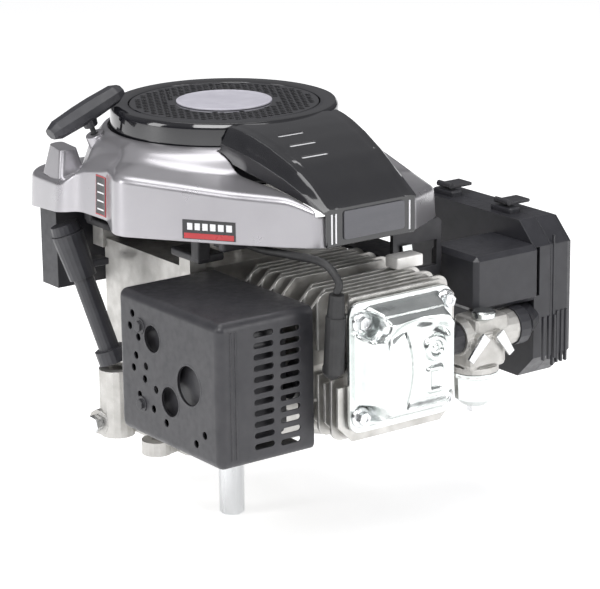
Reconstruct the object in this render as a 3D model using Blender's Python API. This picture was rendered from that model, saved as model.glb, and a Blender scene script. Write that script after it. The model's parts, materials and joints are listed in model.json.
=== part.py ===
"""A small vertical-shaft four-stroke gasoline engine, as separate solids that come apart like the real one.

The origin is the centre of the sump's mounting face, on the crankshaft's axis. +Z runs up the crankshaft,
the cylinder points towards -Y, the muffler is at -X and the carburettor and air cleaner are at +X.
Helpers take millimetres and make meshes in metres.
"""

import math

import bmesh
import bpy
from mathutils import Matrix, Vector

MM = 0.001
GAP = 0.3  # between pieces that touch

# Driving dimensions of the engine, in millimetres
BORE = 65.0
STROKE = 48.0
CYLINDER_Z = 119.0  # height of the cylinder's axis
DECK_Y = -176.0  # joint of cylinder and head
HEAD_FRONT_Y = -236.0  # joint of head and valve cover
SPLIT_Z = 60.0  # joint of sump and crankcase
CRANKCASE_TOP = 165.0
CASE_X = (-75.0, 96.0)
CASE_Y = (-62.0, 96.0)
CASE_WALL = 6.0
SHAFT_R = 11.11  # 7/8 inch output shaft
SHAFT_LENGTH = 80.0  # below the mounting face
JOURNAL_R = 12.5
FOOT_CIRCLE_R = 92.0
FOOT_ANGLES = (193.0, 313.0, 73.0)
FOOT_BOLT_R = 4.9

# Crank, rod, piston and timing gears
THROW = STROKE / 2
CRANKPIN_R = 9.5
WEB_R = 38.0
ROD_LENGTH = 112.0
PISTON_TOP = 38.0  # crown above the wrist pin
PISTON_LENGTH = 54.0
WRIST_PIN_R = 7.0
GEAR_MODULE = 2.25
CRANK_TEETH = 16
CAM_TEETH = 32
GEAR_Z = (64.0, 74.0)
CAM_CENTRE_Y = -17.0
CAM_DISTANCE = GEAR_MODULE * (CRANK_TEETH + CAM_TEETH) / 2
CAM_CENTRE_X = math.sqrt(CAM_DISTANCE**2 - CAM_CENTRE_Y**2)
CAM_BASE_R = 8.0
CAM_LIFT = 6.0

# Valve train: the intake works above the cylinder's axis and the exhaust below it
VALVE_OFFSET_Z = 18.0
LIFTER_OFFSET_Z = 14.0
VALVE_X = 4.0
ROCKER_X = 23.0
PUSHROD_X = 42.0
ROCKER_Y = -231.0
STEM_R = 3.0

# Fins of the cylinder and the head
FIN_PITCH = 8.4
FIN_THICK = 2.6
FIN_X = (-58.0, 58.0)
FIN_Z = (58.0, 175.0)

# Spark plug and its elbow cap
PLUG_TERMINAL = Vector((-57.0, -226.0, CYLINDER_Z))
PLUG_TIP = Vector((-14.0, -192.0, CYLINDER_Z))
PLUG_OUT = (PLUG_TERMINAL - PLUG_TIP).normalized()
CAP_FOOT = PLUG_TERMINAL + Vector((0.0, -1.0, -3.0))
CAP_TOP = PLUG_TERMINAL + Vector((-0.5, -6.0, 61.0))
PORT_Y = -194.5  # axis of both ports
PORT_R = 7.5

# Blower housing and top cover
GRILLE_Z = 286.5
GRILLE_R = 79.8
RING_R = 96.0
RING_TOP = 288.0
HOUSING_RIM = (  # corners of the housing's side: x, y, and the heights of its lower and upper edge
    (-47, -197, 207, 237), (47, -197, 207, 235), (108, -150, 199.5, 226), (150, -70, 190, 218), (150, -20, 188, 232),
    (138, 100, 188, 228), (100, 150, 188, 222), (-98, 150, 188, 220), (-115, 132, 189, 220), (-134, 52, 201, 228),
    (-124, 34, 204, 242), (-125, -10, 205, 250), (-148, -56, 205, 254), (-90, -136, 205, 246.5), (-61, -177, 206, 245),
)
HOUSING_THICK = 2.6
COVER_BACK_Y = -86.0
COVER_FRONT_Y = -197.6
COVER_HALF = (63.0, 46.5)  # half widths at the back and the front of the cover's tongue
COVER_EDGE_Z = (262.0, 236.5)  # its side edges there
COVER_CROWN = ((-86.0, 286.5), (-98.0, 285.3), (-112.0, 282.5), (-132.0, 276.5), (-158.0, 266.0), (-180.0, 252.5),
               (-190.0, 245.0), (-197.6, 239.5))

# Recoil starter
PULLEY_R = 45.0
PULLEY_Z = (263.0, 273.0)
PULL_DIRECTION = Vector((-0.38, 0.0, 0.925)).normalized()
ROPE_EXIT = Vector((-104.0, 40.0, 267.0))
ROPE_R = 2.2
GRIP_CENTRE = ROPE_EXIT + PULL_DIRECTION * 20.0

# Muffler and its guard
GUARD_X = (-150.0, -60.6)
GUARD_Y = (-205.0, -62.0)
GUARD_Z = (47.0, 165.0)
GUARD_THICK = 1.4

# Carburettor and air cleaner
CARB = Vector((118.0, -188.0, 97.0))
BOWL_R = 18.0
CLEANER_X = (184.0, 229.0)
CLEANER_SEAM_X = 202.0
CLEANER_Y = (-186.0, -12.0)
CLEANER_Z = (50.0, 187.0)
CLIP_Y = (-134.0, -57.0)

# Oil filler tube, from the boss on the sump up to its cap
FILLER_FOOT = Vector((-90.0, 40.0, 60.5))
FILLER_TOP = Vector((-118.0, 66.0, 178.0))
FILLER_R = 9.0

# Oil drain, through a boss low on the sump
DRAIN_IN = Vector((-76.0, 52.0, 13.0))
DRAIN_OUT = Vector((-107.0, 44.0, 13.0))

# Fuel tank
TANK_X = (-106.0, 104.0)
TANK_Y = (104.0, 150.0)
TANK_Z = (119.0, 186.5)
FUEL_NECK = Vector((60.0, 122.0, 240.0))

COLOURS = {
    "cast_alloy": ((0.62, 0.62, 0.60), 0.45, 1.0),
    "bright_steel": ((0.70, 0.71, 0.72), 0.25, 1.0),
    "zinc_plate": ((0.72, 0.75, 0.74), 0.22, 1.0),
    "black_steel": ((0.030, 0.030, 0.033), 0.45, 0.2),
    "silver_paint": ((0.42, 0.42, 0.43), 0.35, 0.6),
    "black_plastic": ((0.015, 0.015, 0.018), 0.35, 0.0),
    "gloss_plastic": ((0.010, 0.010, 0.012), 0.10, 0.0),
    "grey_plastic": ((0.45, 0.45, 0.48), 0.50, 0.0),
    "rubber": ((0.012, 0.012, 0.012), 0.70, 0.0),
    "cord": ((0.03, 0.03, 0.03), 0.80, 0.0),
    "foam": ((0.10, 0.09, 0.08), 0.95, 0.0),
}


def material(name):
    """The Principled material of this name, made at its first use."""
    if name in bpy.data.materials:
        return bpy.data.materials[name]
    colour, roughness, metallic = COLOURS[name]
    made = bpy.data.materials.new(name)
    made.use_nodes = True
    shader = made.node_tree.nodes["Principled BSDF"]
    shader.inputs["Base Color"].default_value = (*colour, 1.0)
    shader.inputs["Roughness"].default_value = roughness
    shader.inputs["Metallic"].default_value = metallic
    return made


# Shapes, each a bmesh in millimetres


def block(x, y, z, bevel=0.0, segments=2, along=None):
    """A box between two limits on each axis. A bevel rounds every edge, or only those along one axis."""
    bm = bmesh.new()
    bmesh.ops.create_cube(bm, size=1.0)
    scale = Matrix.Diagonal((x[1] - x[0], y[1] - y[0], z[1] - z[0], 1.0))
    centre = Matrix.Translation((sum(x) / 2, sum(y) / 2, sum(z) / 2))
    bm.transform(centre @ scale)
    if bevel:
        edges = bm.edges[:]
        if along is not None:
            edges = [e for e in edges if abs((e.verts[0].co - e.verts[1].co)[along]) > 1e-3]
        bmesh.ops.bevel(bm, geom=edges, offset=bevel, segments=segments, affect="EDGES", profile=0.5)
    return bm


def round_bar(start, end, radius, end_radius=None, sides=20):
    """A cylinder or a cone between two points."""
    start, end = Vector(start), Vector(end)
    span = end - start
    bm = bmesh.new()
    bmesh.ops.create_cone(
        bm, cap_ends=True, segments=sides, radius1=radius,
        radius2=radius if end_radius is None else end_radius, depth=span.length,
    )
    turn = Vector((0, 0, 1)).rotation_difference(span).to_matrix().to_4x4()
    bm.transform(Matrix.Translation((start + end) / 2) @ turn)
    return bm


def prism(outline, low, high, axis=2):
    """A plate whose outline is drawn across the given axis, between two heights on it."""
    bm = bmesh.new()
    across = [i for i in range(3) if i != axis]
    rings = []
    for height in (low, high):
        ring = []
        for u, v in outline:
            point = [0.0, 0.0, 0.0]
            point[across[0]], point[across[1]], point[axis] = u, v, height
            ring.append(bm.verts.new(point))
        rings.append(ring)
    bm.faces.new(rings[0])
    bm.faces.new(rings[1])
    join_rings(bm, rings[0], rings[1])
    return bm


def join_rings(bm, first, second):
    """The band of quads between two rings of the same count."""
    count = len(first)
    for i in range(count):
        j = (i + 1) % count
        bm.faces.new((first[i], first[j], second[j], second[i]))


def turned(profile, centre=(0.0, 0.0, 0.0), sides=24):
    """A solid of revolution about Z from a closed profile of (radius, height) points off the axis."""
    bm = bmesh.new()
    rings = []
    for radius, height in profile:
        ring = []
        for i in range(sides):
            angle = 2 * math.pi * i / sides
            ring.append(bm.verts.new((radius * math.cos(angle), radius * math.sin(angle), height)))
        rings.append(ring)
    for first, second in zip(rings, rings[1:] + rings[:1]):
        join_rings(bm, first, second)
    bm.transform(Matrix.Translation(centre))
    return bm


def lofted(sections):
    """A solid through sections of the same count, the first and last closed."""
    bm = bmesh.new()
    rings = [[bm.verts.new(point) for point in section] for section in sections]
    bm.faces.new(rings[0])
    bm.faces.new(rings[-1])
    for first, second in zip(rings, rings[1:]):
        join_rings(bm, first, second)
    return bm


def span(a, b):
    return (min(a, b), max(a, b))


def several(shapes):
    """Shapes that don't touch, as one bmesh."""
    whole = bmesh.new()
    for shape in shapes:
        copy = bpy.data.meshes.new("copy")
        shape.to_mesh(copy)
        shape.free()
        whole.from_mesh(copy)
        bpy.data.meshes.remove(copy)
    return whole


def hexagon(centre, across, low, high, axis=2):
    """A hexagonal prism about a point, across its flats, between two heights on an axis."""
    radius = across / math.sqrt(3)
    points = [math.radians(60 * i + 30) for i in range(6)]
    outline = [(centre[0] + radius * math.cos(a), centre[1] + radius * math.sin(a)) for a in points]
    return prism(outline, low, high, axis)


# Objects


def raw_object(name, bm):
    bmesh.ops.remove_doubles(bm, verts=bm.verts[:], dist=1e-5)
    bm.transform(Matrix.Diagonal((MM, MM, MM, 1.0)))
    bmesh.ops.recalc_face_normals(bm, faces=bm.faces[:])
    mesh = bpy.data.meshes.new(name)
    bm.to_mesh(mesh)
    bm.free()
    made = bpy.data.objects.new(name, mesh)
    bpy.context.scene.collection.objects.link(made)
    return made


def helper(name, bm):
    """A shape that only a Boolean reads."""
    made = raw_object(name, bm)
    made.hide_render = True
    made.display_type = "WIRE"
    return made


def solid(name, finish, bm, add=(), cut=(), pivot=None, parent=None):
    """A named sub-part. add and cut are shapes joined to it and cut from it, in that order."""
    made = raw_object(name, bm)
    made.data.materials.append(material(finish))
    made.data.shade_smooth()
    made.data.set_sharp_from_angle(angle=math.radians(32))
    origin = Vector(pivot) * MM if pivot is not None else Vector()
    made.data.transform(Matrix.Translation(-origin))
    made.location = origin
    for operation, shapes in (("UNION", add), ("DIFFERENCE", cut)):
        for number, shape in enumerate(shapes, 1):
            modifier = made.modifiers.new(f"{operation.lower()}_{number}", "BOOLEAN")
            modifier.operation = operation
            modifier.object = helper(f"{name}.{operation.lower()}_{number}", shape)
    if parent is not None:
        made.parent = parent
        made.location = origin - parent.location
    return made


def axis_empty(name, place):
    """An empty on a joint's axis, for the pieces that turn or slide together."""
    made = bpy.data.objects.new(name, None)
    made.location = Vector(place) * MM
    made.empty_display_size = 0.02
    bpy.context.scene.collection.objects.link(made)
    return made


def cord_object(name, finish, points, radius, resolution=2):
    """A round cord through points in millimetres, with closed ends."""
    curve = bpy.data.curves.new(name, "CURVE")
    curve.dimensions = "3D"
    curve.bevel_depth = radius * MM
    curve.bevel_resolution = resolution
    curve.use_fill_caps = True
    spline = curve.splines.new("POLY")
    spline.points.add(len(points) - 1)
    for target, point in zip(spline.points, points):
        target.co = (*(Vector(point) * MM), 1.0)
    curve.materials.append(material(finish))
    made = bpy.data.objects.new(name, curve)
    bpy.context.scene.collection.objects.link(made)
    return made


def smooth_route(points, steps):
    """Points along a smooth curve through the route's own points."""
    points = [Vector(p) for p in points]
    padded = [2 * points[0] - points[1], *points, 2 * points[-1] - points[-2]]
    route = []
    for i in range(len(points) - 1):
        a, b, c, d = padded[i : i + 4]
        for step in range(steps):
            t = step / steps
            route.append(
                0.5 * (2 * b + (c - a) * t + (2 * a - 5 * b + 4 * c - d) * t**2 + (3 * b - a - 3 * c + d) * t**3)
            )
    route.append(points[-1])
    return route


# Crankcase, cylinder and head


def case_outline(inset=0.0):
    """The crankcase's plan, with its corners cut off."""
    x0, x1 = CASE_X[0] + inset, CASE_X[1] - inset
    y0, y1 = CASE_Y[0] + inset, CASE_Y[1] - inset
    c = 20.0 - inset * 0.6
    return [
        (x0 + c, y0), (x1 - c, y0), (x1, y0 + c), (x1, y1 - c),
        (x1 - c, y1), (x0 + c, y1), (x0, y1 - c), (x0, y0 + c),
    ]


def foot_centre(angle):
    turn = math.radians(angle)
    return FOOT_CIRCLE_R * math.cos(turn), FOOT_CIRCLE_R * math.sin(turn)


def filler_point(height):
    """The point of the filler tube's axis at a height."""
    share = (height - FILLER_FOOT.z) / (FILLER_TOP.z - FILLER_FOOT.z)
    return FILLER_FOOT.lerp(FILLER_TOP, share)


def make_sump():
    feet = []
    bolt_holes = []
    for angle in FOOT_ANGLES:
        x, y = foot_centre(angle)
        turn = Vector((x, y, 0)).normalized()
        feet.append(round_bar((x, y, 0.0), (x, y, 12.0), 13.0, sides=16))
        inner = Vector((x, y, 0)) - turn * 30
        feet.append(lofted([
            [Vector((p.x, p.y, z)) for p in (
                inner + turn.cross(Vector((0, 0, 1))) * 12, Vector((x, y, 0)) + turn.cross(Vector((0, 0, 1))) * 12,
                Vector((x, y, 0)) - turn.cross(Vector((0, 0, 1))) * 12, inner - turn.cross(Vector((0, 0, 1))) * 12,
            )] for z in (0.0, 12.0)
        ]))
        bolt_holes.append(round_bar((x, y, -5), (x, y, 20), FOOT_BOLT_R, sides=12))
    filler_boss = round_bar((-90, 40, 0.5), (-90, 40, SPLIT_Z - 0.2), 15.0, sides=16)
    bearing = round_bar((0, 0, 2), (0, 0, 34), 24.0, sides=20)
    cam_bearing = round_bar((CAM_CENTRE_X, CAM_CENTRE_Y, 2), (CAM_CENTRE_X, CAM_CENTRE_Y, 40), 12.0, sides=16)
    drain_boss = round_bar(DRAIN_IN, DRAIN_OUT, 11.0, sides=12)
    cavity = prism(case_outline(CASE_WALL), 8.0, SPLIT_Z + 5)
    oil_way = block((-92, -70), (32, 46), (20, 34))
    filler_bore = round_bar(filler_point(26), filler_point(80), 7.0, sides=12)
    journal = round_bar((0, 0, -5), (0, 0, 50), JOURNAL_R + 0.5, sides=20)
    cam_hole = round_bar((CAM_CENTRE_X, CAM_CENTRE_Y, 28), (CAM_CENTRE_X, CAM_CENTRE_Y, 60), 6.6, sides=16)
    drain_hole = round_bar(DRAIN_IN.lerp(DRAIN_OUT, -0.7), DRAIN_IN.lerp(DRAIN_OUT, 1.5), 6.4, sides=12)
    solid(
        "sump", "cast_alloy", prism(case_outline(), 0.0, SPLIT_Z),
        add=[*feet, filler_boss, drain_boss],
        cut=[cavity],
    )
    sump = bpy.data.objects["sump"]
    for number, (operation, shape) in enumerate(
        [("UNION", bearing), ("UNION", cam_bearing), ("DIFFERENCE", journal), ("DIFFERENCE", cam_hole),
         ("DIFFERENCE", filler_bore), ("DIFFERENCE", oil_way), ("DIFFERENCE", drain_hole),
         ("DIFFERENCE", several(bolt_holes))]
    ):
        modifier = sump.modifiers.new(f"bearing_{number}", "BOOLEAN")
        modifier.operation = operation
        modifier.object = helper(f"sump.bearing_{number}", shape)


def fins(places, x, z, corner=14.0):
    """Plates across the cylinder, with rounded corners."""
    return several([
        block(x, (y - FIN_THICK / 2, y + FIN_THICK / 2), z, bevel=corner, segments=1, along=1)
        for y in places
    ])


def make_cylinder_block():
    low = SPLIT_Z + GAP
    case = prism(case_outline(), low, CRANKCASE_TOP)
    barrel = round_bar((0, CASE_Y[0] + 3, CYLINDER_Z), (0, DECK_Y, CYLINDER_Z), BORE / 2 + 8, sides=20)
    deck = block((-50, 56), (DECK_Y, DECK_Y + 9), (72, 166), bevel=12, segments=1, along=1)
    tunnel = block((33, 56), (DECK_Y + 2, CASE_Y[0] + 3), (96, 142))
    places = [DECK_Y + 18 + 2 * FIN_PITCH * i for i in range(4)]
    ears = [block((x - 8, x + 8), (y - 8, y + 8), (CRANKCASE_TOP - 8, CRANKCASE_TOP + 12))
            for x, y in ((-70, -52), (82, -52), (-70, 82), (82, 82))]
    upper_boss = round_bar((0, 0, CRANKCASE_TOP - 16), (0, 0, CRANKCASE_TOP + 20), 22, sides=20)
    cavity = prism(case_outline(CASE_WALL), low - 5, CRANKCASE_TOP - CASE_WALL)
    bore = round_bar((0, CASE_Y[0] + 12, CYLINDER_Z), (0, DECK_Y - 5, CYLINDER_Z), BORE / 2 + 0.5, sides=28)
    pushrod_ways = several([
        round_bar((pushrod_at(CASE_Y[0] + 12).x, CASE_Y[0] + 12, CYLINDER_Z + dz),
                  (pushrod_at(DECK_Y - 10).x, DECK_Y - 10, CYLINDER_Z + dz), 6.5, sides=12)
        for dz in (-LIFTER_OFFSET_Z, LIFTER_OFFSET_Z)
    ])
    cam_boss = round_bar((CAM_CENTRE_X, CAM_CENTRE_Y, CRANKCASE_TOP - 20), (CAM_CENTRE_X, CAM_CENTRE_Y, CRANKCASE_TOP - 1),
                         11, sides=16)
    cam_hole = round_bar((CAM_CENTRE_X, CAM_CENTRE_Y, 100), (CAM_CENTRE_X, CAM_CENTRE_Y, 158), 6.6, sides=16)
    journal = round_bar((0, 0, 100), (0, 0, 200), JOURNAL_R + 0.5, sides=20)
    engine = solid(
        "cylinder_block", "cast_alloy", case,
        add=[barrel, deck, tunnel, fins(places, FIN_X, FIN_Z), several(ears)],
        cut=[cavity, bore, pushrod_ways],
    )
    for number, (operation, shape) in enumerate(
        [("UNION", upper_boss), ("UNION", cam_boss), ("DIFFERENCE", journal), ("DIFFERENCE", cam_hole)]
    ):
        modifier = engine.modifiers.new(f"boss_{number}", "BOOLEAN")
        modifier.operation = operation
        modifier.object = helper(f"cylinder_block.boss_{number}", shape)


def make_cylinder_head():
    back = DECK_Y - GAP
    core = block((-46, 52), (HEAD_FRONT_Y, back), (72, 166), bevel=12, segments=1, along=1)
    places = [HEAD_FRONT_Y + 4 + 2 * FIN_PITCH * i for i in range(4)]
    rocker_box = block((-15, 46), (HEAD_FRONT_Y - 5, -213), (88, 150), bevel=6, segments=1, along=1)
    chamber = round_bar((0, back + 5, CYLINDER_Z), (0, -186, CYLINDER_Z), 31.6, sides=20)
    intake_z, exhaust_z = CYLINDER_Z + VALVE_OFFSET_Z, CYLINDER_Z - VALVE_OFFSET_Z
    seats = several([round_bar((VALVE_X, -180, z), (VALVE_X, -199, z), 10.5, sides=16) for z in (intake_z, exhaust_z)])
    intake_port = round_bar((VALVE_X, PORT_Y, intake_z), (80, PORT_Y, intake_z), PORT_R, sides=12)
    exhaust_port = round_bar((VALVE_X, PORT_Y, exhaust_z), (-80, PORT_Y, exhaust_z), PORT_R, sides=12)
    guides = several([round_bar((VALVE_X, -190, z), (VALVE_X, -220, z), STEM_R + 0.6, sides=12)
                      for z in (intake_z, exhaust_z)])
    ways = several([
        round_bar((pushrod_at(back + 5).x, back + 5, CYLINDER_Z + dz), (PUSHROD_X, -220, CYLINDER_Z + dz), 6, sides=12)
        for dz in (-LIFTER_OFFSET_Z, LIFTER_OFFSET_Z)
    ])
    plug_well = round_bar(PLUG_TIP + PLUG_OUT * 19, PLUG_TERMINAL + PLUG_OUT * 40, 9.2, sides=16)
    elbow_room = block((-80, -46.5), (-245, -208), (104, 200))
    plug_bore = round_bar(PLUG_TIP - PLUG_OUT * 10, PLUG_TERMINAL, 5.6, sides=12)
    bolt_holes = several([round_bar((x, HEAD_FRONT_Y - 5, z), (x, HEAD_FRONT_Y + 16, z), 3.4, sides=12)
                          for x, z in cover_bolts()])
    pedestal = block((ROCKER_X - 5, ROCKER_X + 5), (ROCKER_Y - 6, -206), (CYLINDER_Z - 6, CYLINDER_Z + 6))
    pivot_pin = round_bar((ROCKER_X, ROCKER_Y, CYLINDER_Z - 25), (ROCKER_X, ROCKER_Y, CYLINDER_Z + 25), 3.5, sides=16)
    intake_flange = block((45, 60), (-214, -178), (117, 159), bevel=6, segments=1, along=0)
    exhaust_flange = block((-60, -45), (-203.2, -178), (82, 117), bevel=6, segments=1, along=0)
    head = solid(
        "cylinder_head", "cast_alloy", core,
        add=[fins(places, FIN_X, FIN_Z), intake_flange, exhaust_flange],
        cut=[elbow_room, rocker_box, chamber, seats, intake_port, exhaust_port, guides, ways, plug_well, plug_bore,
             bolt_holes],
    )
    for number, shape in enumerate([pedestal, pivot_pin]):
        modifier = head.modifiers.new(f"pivot_{number}", "BOOLEAN")
        modifier.operation = "UNION"
        modifier.object = helper(f"cylinder_head.pivot_{number}", shape)


def cover_bolts():
    """Places of the valve cover's bolts, across X and Z."""
    return ((-41, 79), (42, 79), (-40, 156), (44, 160))


def make_valve_cover():
    front = -265.0
    flange_low, flange_high = HEAD_FRONT_Y - GAP - 3.0, HEAD_FRONT_Y - GAP
    flange = block((-51, 51), (flange_low, flange_high), (66, 172), bevel=10, segments=3, along=1)
    bulge = lofted([
        [(x0, y, z0 + c), (x0 + c, y, z0), (x1 - c, y, z0), (x1, y, z0 + c),
         (x1, y, z1 - c), (x1 - c, y, z1), (x0 + c, y, z1), (x0, y, z1 - c)]
        for y, x0, x1, z0, z1, c in (
            (flange_low + 0.5, -45, 47, 70, 168, 16), (-258, -42, 44, 73, 165, 15), (front, -36, 38, 79, 159, 12),
        )
    ])
    hollow = block((-38, 46), (-260, HEAD_FRONT_Y + 5), (88, 150), bevel=5, along=1)
    boss = round_bar((18, front + 2, 148 - 18), (18, front - 2.5, 148 - 18), 11, sides=16)
    recesses = several([round_bar((x, flange_low - 0.2, z), (x, front - 10, z), 8.5, sides=12) for x, z in cover_bolts()])
    bolt_holes = several([round_bar((x, flange_high + 5, z), (x, flange_low - 5, z), 3.4, sides=12)
                          for x, z in cover_bolts()])
    solid("valve_cover", "zinc_plate", flange, add=[bulge, boss], cut=[hollow, recesses, bolt_holes])


def make_cover_bolts():
    seat = HEAD_FRONT_Y - GAP - 3.0 - GAP
    for number, (x, z) in enumerate(cover_bolts(), 1):
        shank = round_bar((x, seat - 1, z), (x, HEAD_FRONT_Y + 14, z), 3.0, sides=12)
        washer = round_bar((x, seat - 1.5, z), (x, seat, z), 7.6, sides=12)
        head = hexagon((x, z), 10, seat - 7.5, seat - 1, axis=1)
        solid(f"valve_cover_bolt_{number}", "bright_steel", head, add=[washer, shank])


# Ignition


def make_ignition():
    seat = PLUG_TIP + PLUG_OUT * 19.4
    thread = round_bar(PLUG_TIP, seat + PLUG_OUT, 5.0, sides=12)
    hexagonal = round_bar(seat, seat + PLUG_OUT * 8, 8.2, sides=6)
    insulator = round_bar(seat + PLUG_OUT * 6, PLUG_TERMINAL - PLUG_OUT * 0.5, 4.5, 3.2, sides=12)
    solid("spark_plug", "bright_steel", thread, add=[hexagonal, insulator])

    foot, top = CAP_FOOT, CAP_TOP
    sleeve = round_bar(foot, foot.lerp(top, 0.72), 8.6, 8.2, sides=16)
    boot = round_bar(foot.lerp(top, 0.70), top, 7.4, 6.0, sides=12)
    socket = round_bar(PLUG_TERMINAL - PLUG_OUT * 14, PLUG_TERMINAL + PLUG_OUT * 4, 8.0, sides=16)
    socket_hole = round_bar(PLUG_TERMINAL - PLUG_OUT * 24, PLUG_TERMINAL + PLUG_OUT * 1.5, 5.2, sides=12)
    solid("plug_cap", "rubber", sleeve, add=[boot, socket], cut=[socket_hole], pivot=PLUG_TERMINAL)

    lead_top = top + (top - foot).normalized() * 1.2
    route = smooth_route([
        lead_top, lead_top + Vector((1, -1, 9)), lead_top + Vector((-2, 14, 21)), (-60, -178, 200),
        (-66, -148, 199), (-66, -125, 199),
    ], 4)
    cord_object("ignition_lead", "rubber", route, 3.2)
    core = block((-86, -56), (-121, -112), (194, 214), bevel=2)
    coil = block((-82, -60), (-110.5, -98), (194, 226), bevel=3)
    solid("ignition_coil", "black_plastic", core, add=[coil, block((-76, -66), (-116, -104), (198, 210))])


# Exhaust


def make_exhaust():
    y, z = PORT_Y, CYLINDER_Z - VALVE_OFFSET_Z
    flange = block((-64.5, -60.3), (-203.0, -176), (82, 117), bevel=5, segments=1, along=0)
    tube = round_bar((-63, y + 6, z), (-74.6, y + 6, z), 13, sides=16)
    way = round_bar((-50, y + 2, z), (-80, y + 6, z), 7.5, sides=12)
    solid("exhaust_pipe", "black_steel", flange, add=[tube], cut=[way])
    can = block((-142, -75), (-198, -72), (58, 154), bevel=14, segments=2)
    inlet = round_bar((-70, y + 6, z), (-90, y + 6, z), 7.5, sides=12)
    outlet = round_bar((-120, -140, 70), (-120, -140, 40), 9.0, sides=12)
    chamber = block((-138, -79), (-194, -76), (62, 150), bevel=12, segments=1)
    standoffs = [round_bar((-140, y, z), (-148.2, y, z), 6, sides=12) for y, z in ((-95, 75), (-95, 140))]
    solid("muffler", "black_steel", can, add=standoffs, cut=[chamber, inlet, outlet])


def guard_slots():
    """Cutters for the slots of the guard's front face: two columns of eleven, leaning with its draft."""
    shapes = []
    for column, (x, top) in enumerate(((-108.0, 152.0), (-83.0, 150.5))):
        for row in range(11):
            z = top - 9.1 * row
            shapes.append(block((x - 9.5, x + 9.5), (-215, -198), (z - 2.4, z + 2.4)))
    return several(shapes)


def guard_holes():
    """Cutters for the round holes of the guard's outer face, large and small, across Y and Z."""
    large = ((-163, 107, 16), (-112, 133, 11), (-136, 87, 12))
    small = ((-84, 148), (-80, 137), (-92, 130), (-88, 114), (-102, 108), (-84, 103), (-100, 97), (-116, 92), (-92, 82),
             (-112, 75), (-130, 68), (-184, 72), (-172, 62))
    shapes = [round_bar((-160, y, z), (-140, y, z), r, sides=14) for y, z, r in large]
    shapes += [round_bar((-160, y, z), (-140, y, z), 3.2, sides=6) for y, z in small]
    return several(shapes)


def make_muffler_guard():
    t = GUARD_THICK
    shell = block((GUARD_X[0], GUARD_X[1] + 20), GUARD_Y, GUARD_Z, bevel=8, segments=2)
    open_side = block((GUARD_X[1], GUARD_X[1] + 40), (-300, 0), (0, 300))
    inner = block((GUARD_X[0] + t, GUARD_X[1] + 30), (GUARD_Y[0] + t, GUARD_Y[1] - t), (GUARD_Z[0] + t, GUARD_Z[1] - t),
                  bevel=6.5, segments=2)
    solid("muffler_guard", "black_steel", shell, cut=[open_side, inner, guard_slots(), guard_holes()])


# Intake side


def make_intake():
    port = Vector((63.6, PORT_Y, CYLINDER_Z + VALVE_OFFSET_Z))
    carb_end = Vector((CARB.x - 20.4, CARB.y, CARB.z + 8))
    knee, elbow = port + Vector((11, 1, -3)), carb_end + Vector((-13, 0, 0))
    step = Vector((10, 0, 0))
    flange = block((60.3, 64.5), (-213, -178), (117, 159), bevel=5, segments=1, along=0)
    necks = [round_bar(port, knee, 12, sides=16), round_bar(knee - (elbow - knee) * 0.12, elbow, 12, sides=16),
             round_bar(elbow - step * 0.2, carb_end, 13, sides=16)]
    ways = [round_bar(port - step * 0.6 + Vector((0, 0, 1)), knee, 7.5, sides=12), round_bar(knee - (elbow - knee) * 0.1, elbow, 7.5, sides=12),
            round_bar(elbow - step * 0.2, carb_end + step, 7.5, sides=12)]
    solid("intake_manifold", "black_plastic", flange, add=necks, cut=ways)


def make_carburetor():
    x, y, z = CARB
    body = block((x - 19, x + 21), (y - 17, y + 17), (z - 19, z + 12), bevel=5)
    throat = round_bar((x - 20, y, z + 8), (x + 37, y, z + 8), 15, sides=16)
    cap = block((x - 12, x + 26), (y - 15, y + 14), (z + 10, z + 25), bevel=4)
    rim = round_bar((x, y, z - 22), (x, y, z - 17), 20, sides=16)
    way = round_bar((x - 40, y, z + 8), (x + 50, y, z + 8), 9, sides=12)
    shafts = [round_bar((x + dx, y - 20, z + 8), (x + dx, y - 10, z + 8), 5.4, sides=12) for dx in (-9, 11)]
    shaft_holes = several([round_bar((x + dx, y - 30, z + 8), (x + dx, y - 12, z + 8), 2.4, sides=12) for dx in (-9, 11)])
    solid("carburetor_body", "cast_alloy", body, add=[throat, cap, rim, *shafts], cut=[way, shaft_holes])
    bowl = turned([(BOWL_R, z - 23), (BOWL_R + 2, z - 22.4), (BOWL_R + 2, z - 26), (BOWL_R, z - 27), (BOWL_R - 1, z - 46),
                   (BOWL_R - 6, z - 51), (3.4, z - 51), (3.4, z - 49), (BOWL_R - 7, z - 49), (BOWL_R - 2.4, z - 45),
                   (BOWL_R - 1.8, z - 23)], (x, y, 0), sides=16)
    solid("float_bowl", "zinc_plate", bowl)
    bolt = hexagon((x, y), 11, z - 58, z - 51.4)
    solid("float_bowl_bolt", "bright_steel", bolt, add=[round_bar((x, y, z - 52), (x, y, z - 24), 2.9, sides=12)])
    for name, dx, reach, lean in (("throttle_lever", -9, 20, 1.0), ("choke_lever", 11, 18, 0.6)):
        pivot = Vector((x + dx, y - 20.6, z + 8))
        direction = Vector((math.sin(lean) * (1 if dx > 0 else -0.6), 0, -math.cos(lean))).normalized()
        side = Vector((direction.z, 0, -direction.x))
        outline = [pivot + side * 4.5 - direction * 5, pivot + direction * reach + side * 3,
                   pivot + direction * reach - side * 3, pivot - side * 4.5 - direction * 5]
        plate = prism([(p.x, p.z) for p in outline], pivot.y - 2.2, pivot.y, axis=1)
        pin = round_bar(pivot + Vector((0, -1, 0)), pivot + Vector((0, 7.6, 0)), 1.9, sides=12)
        solid(name, "bright_steel", plate, add=[pin], pivot=pivot)


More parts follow.
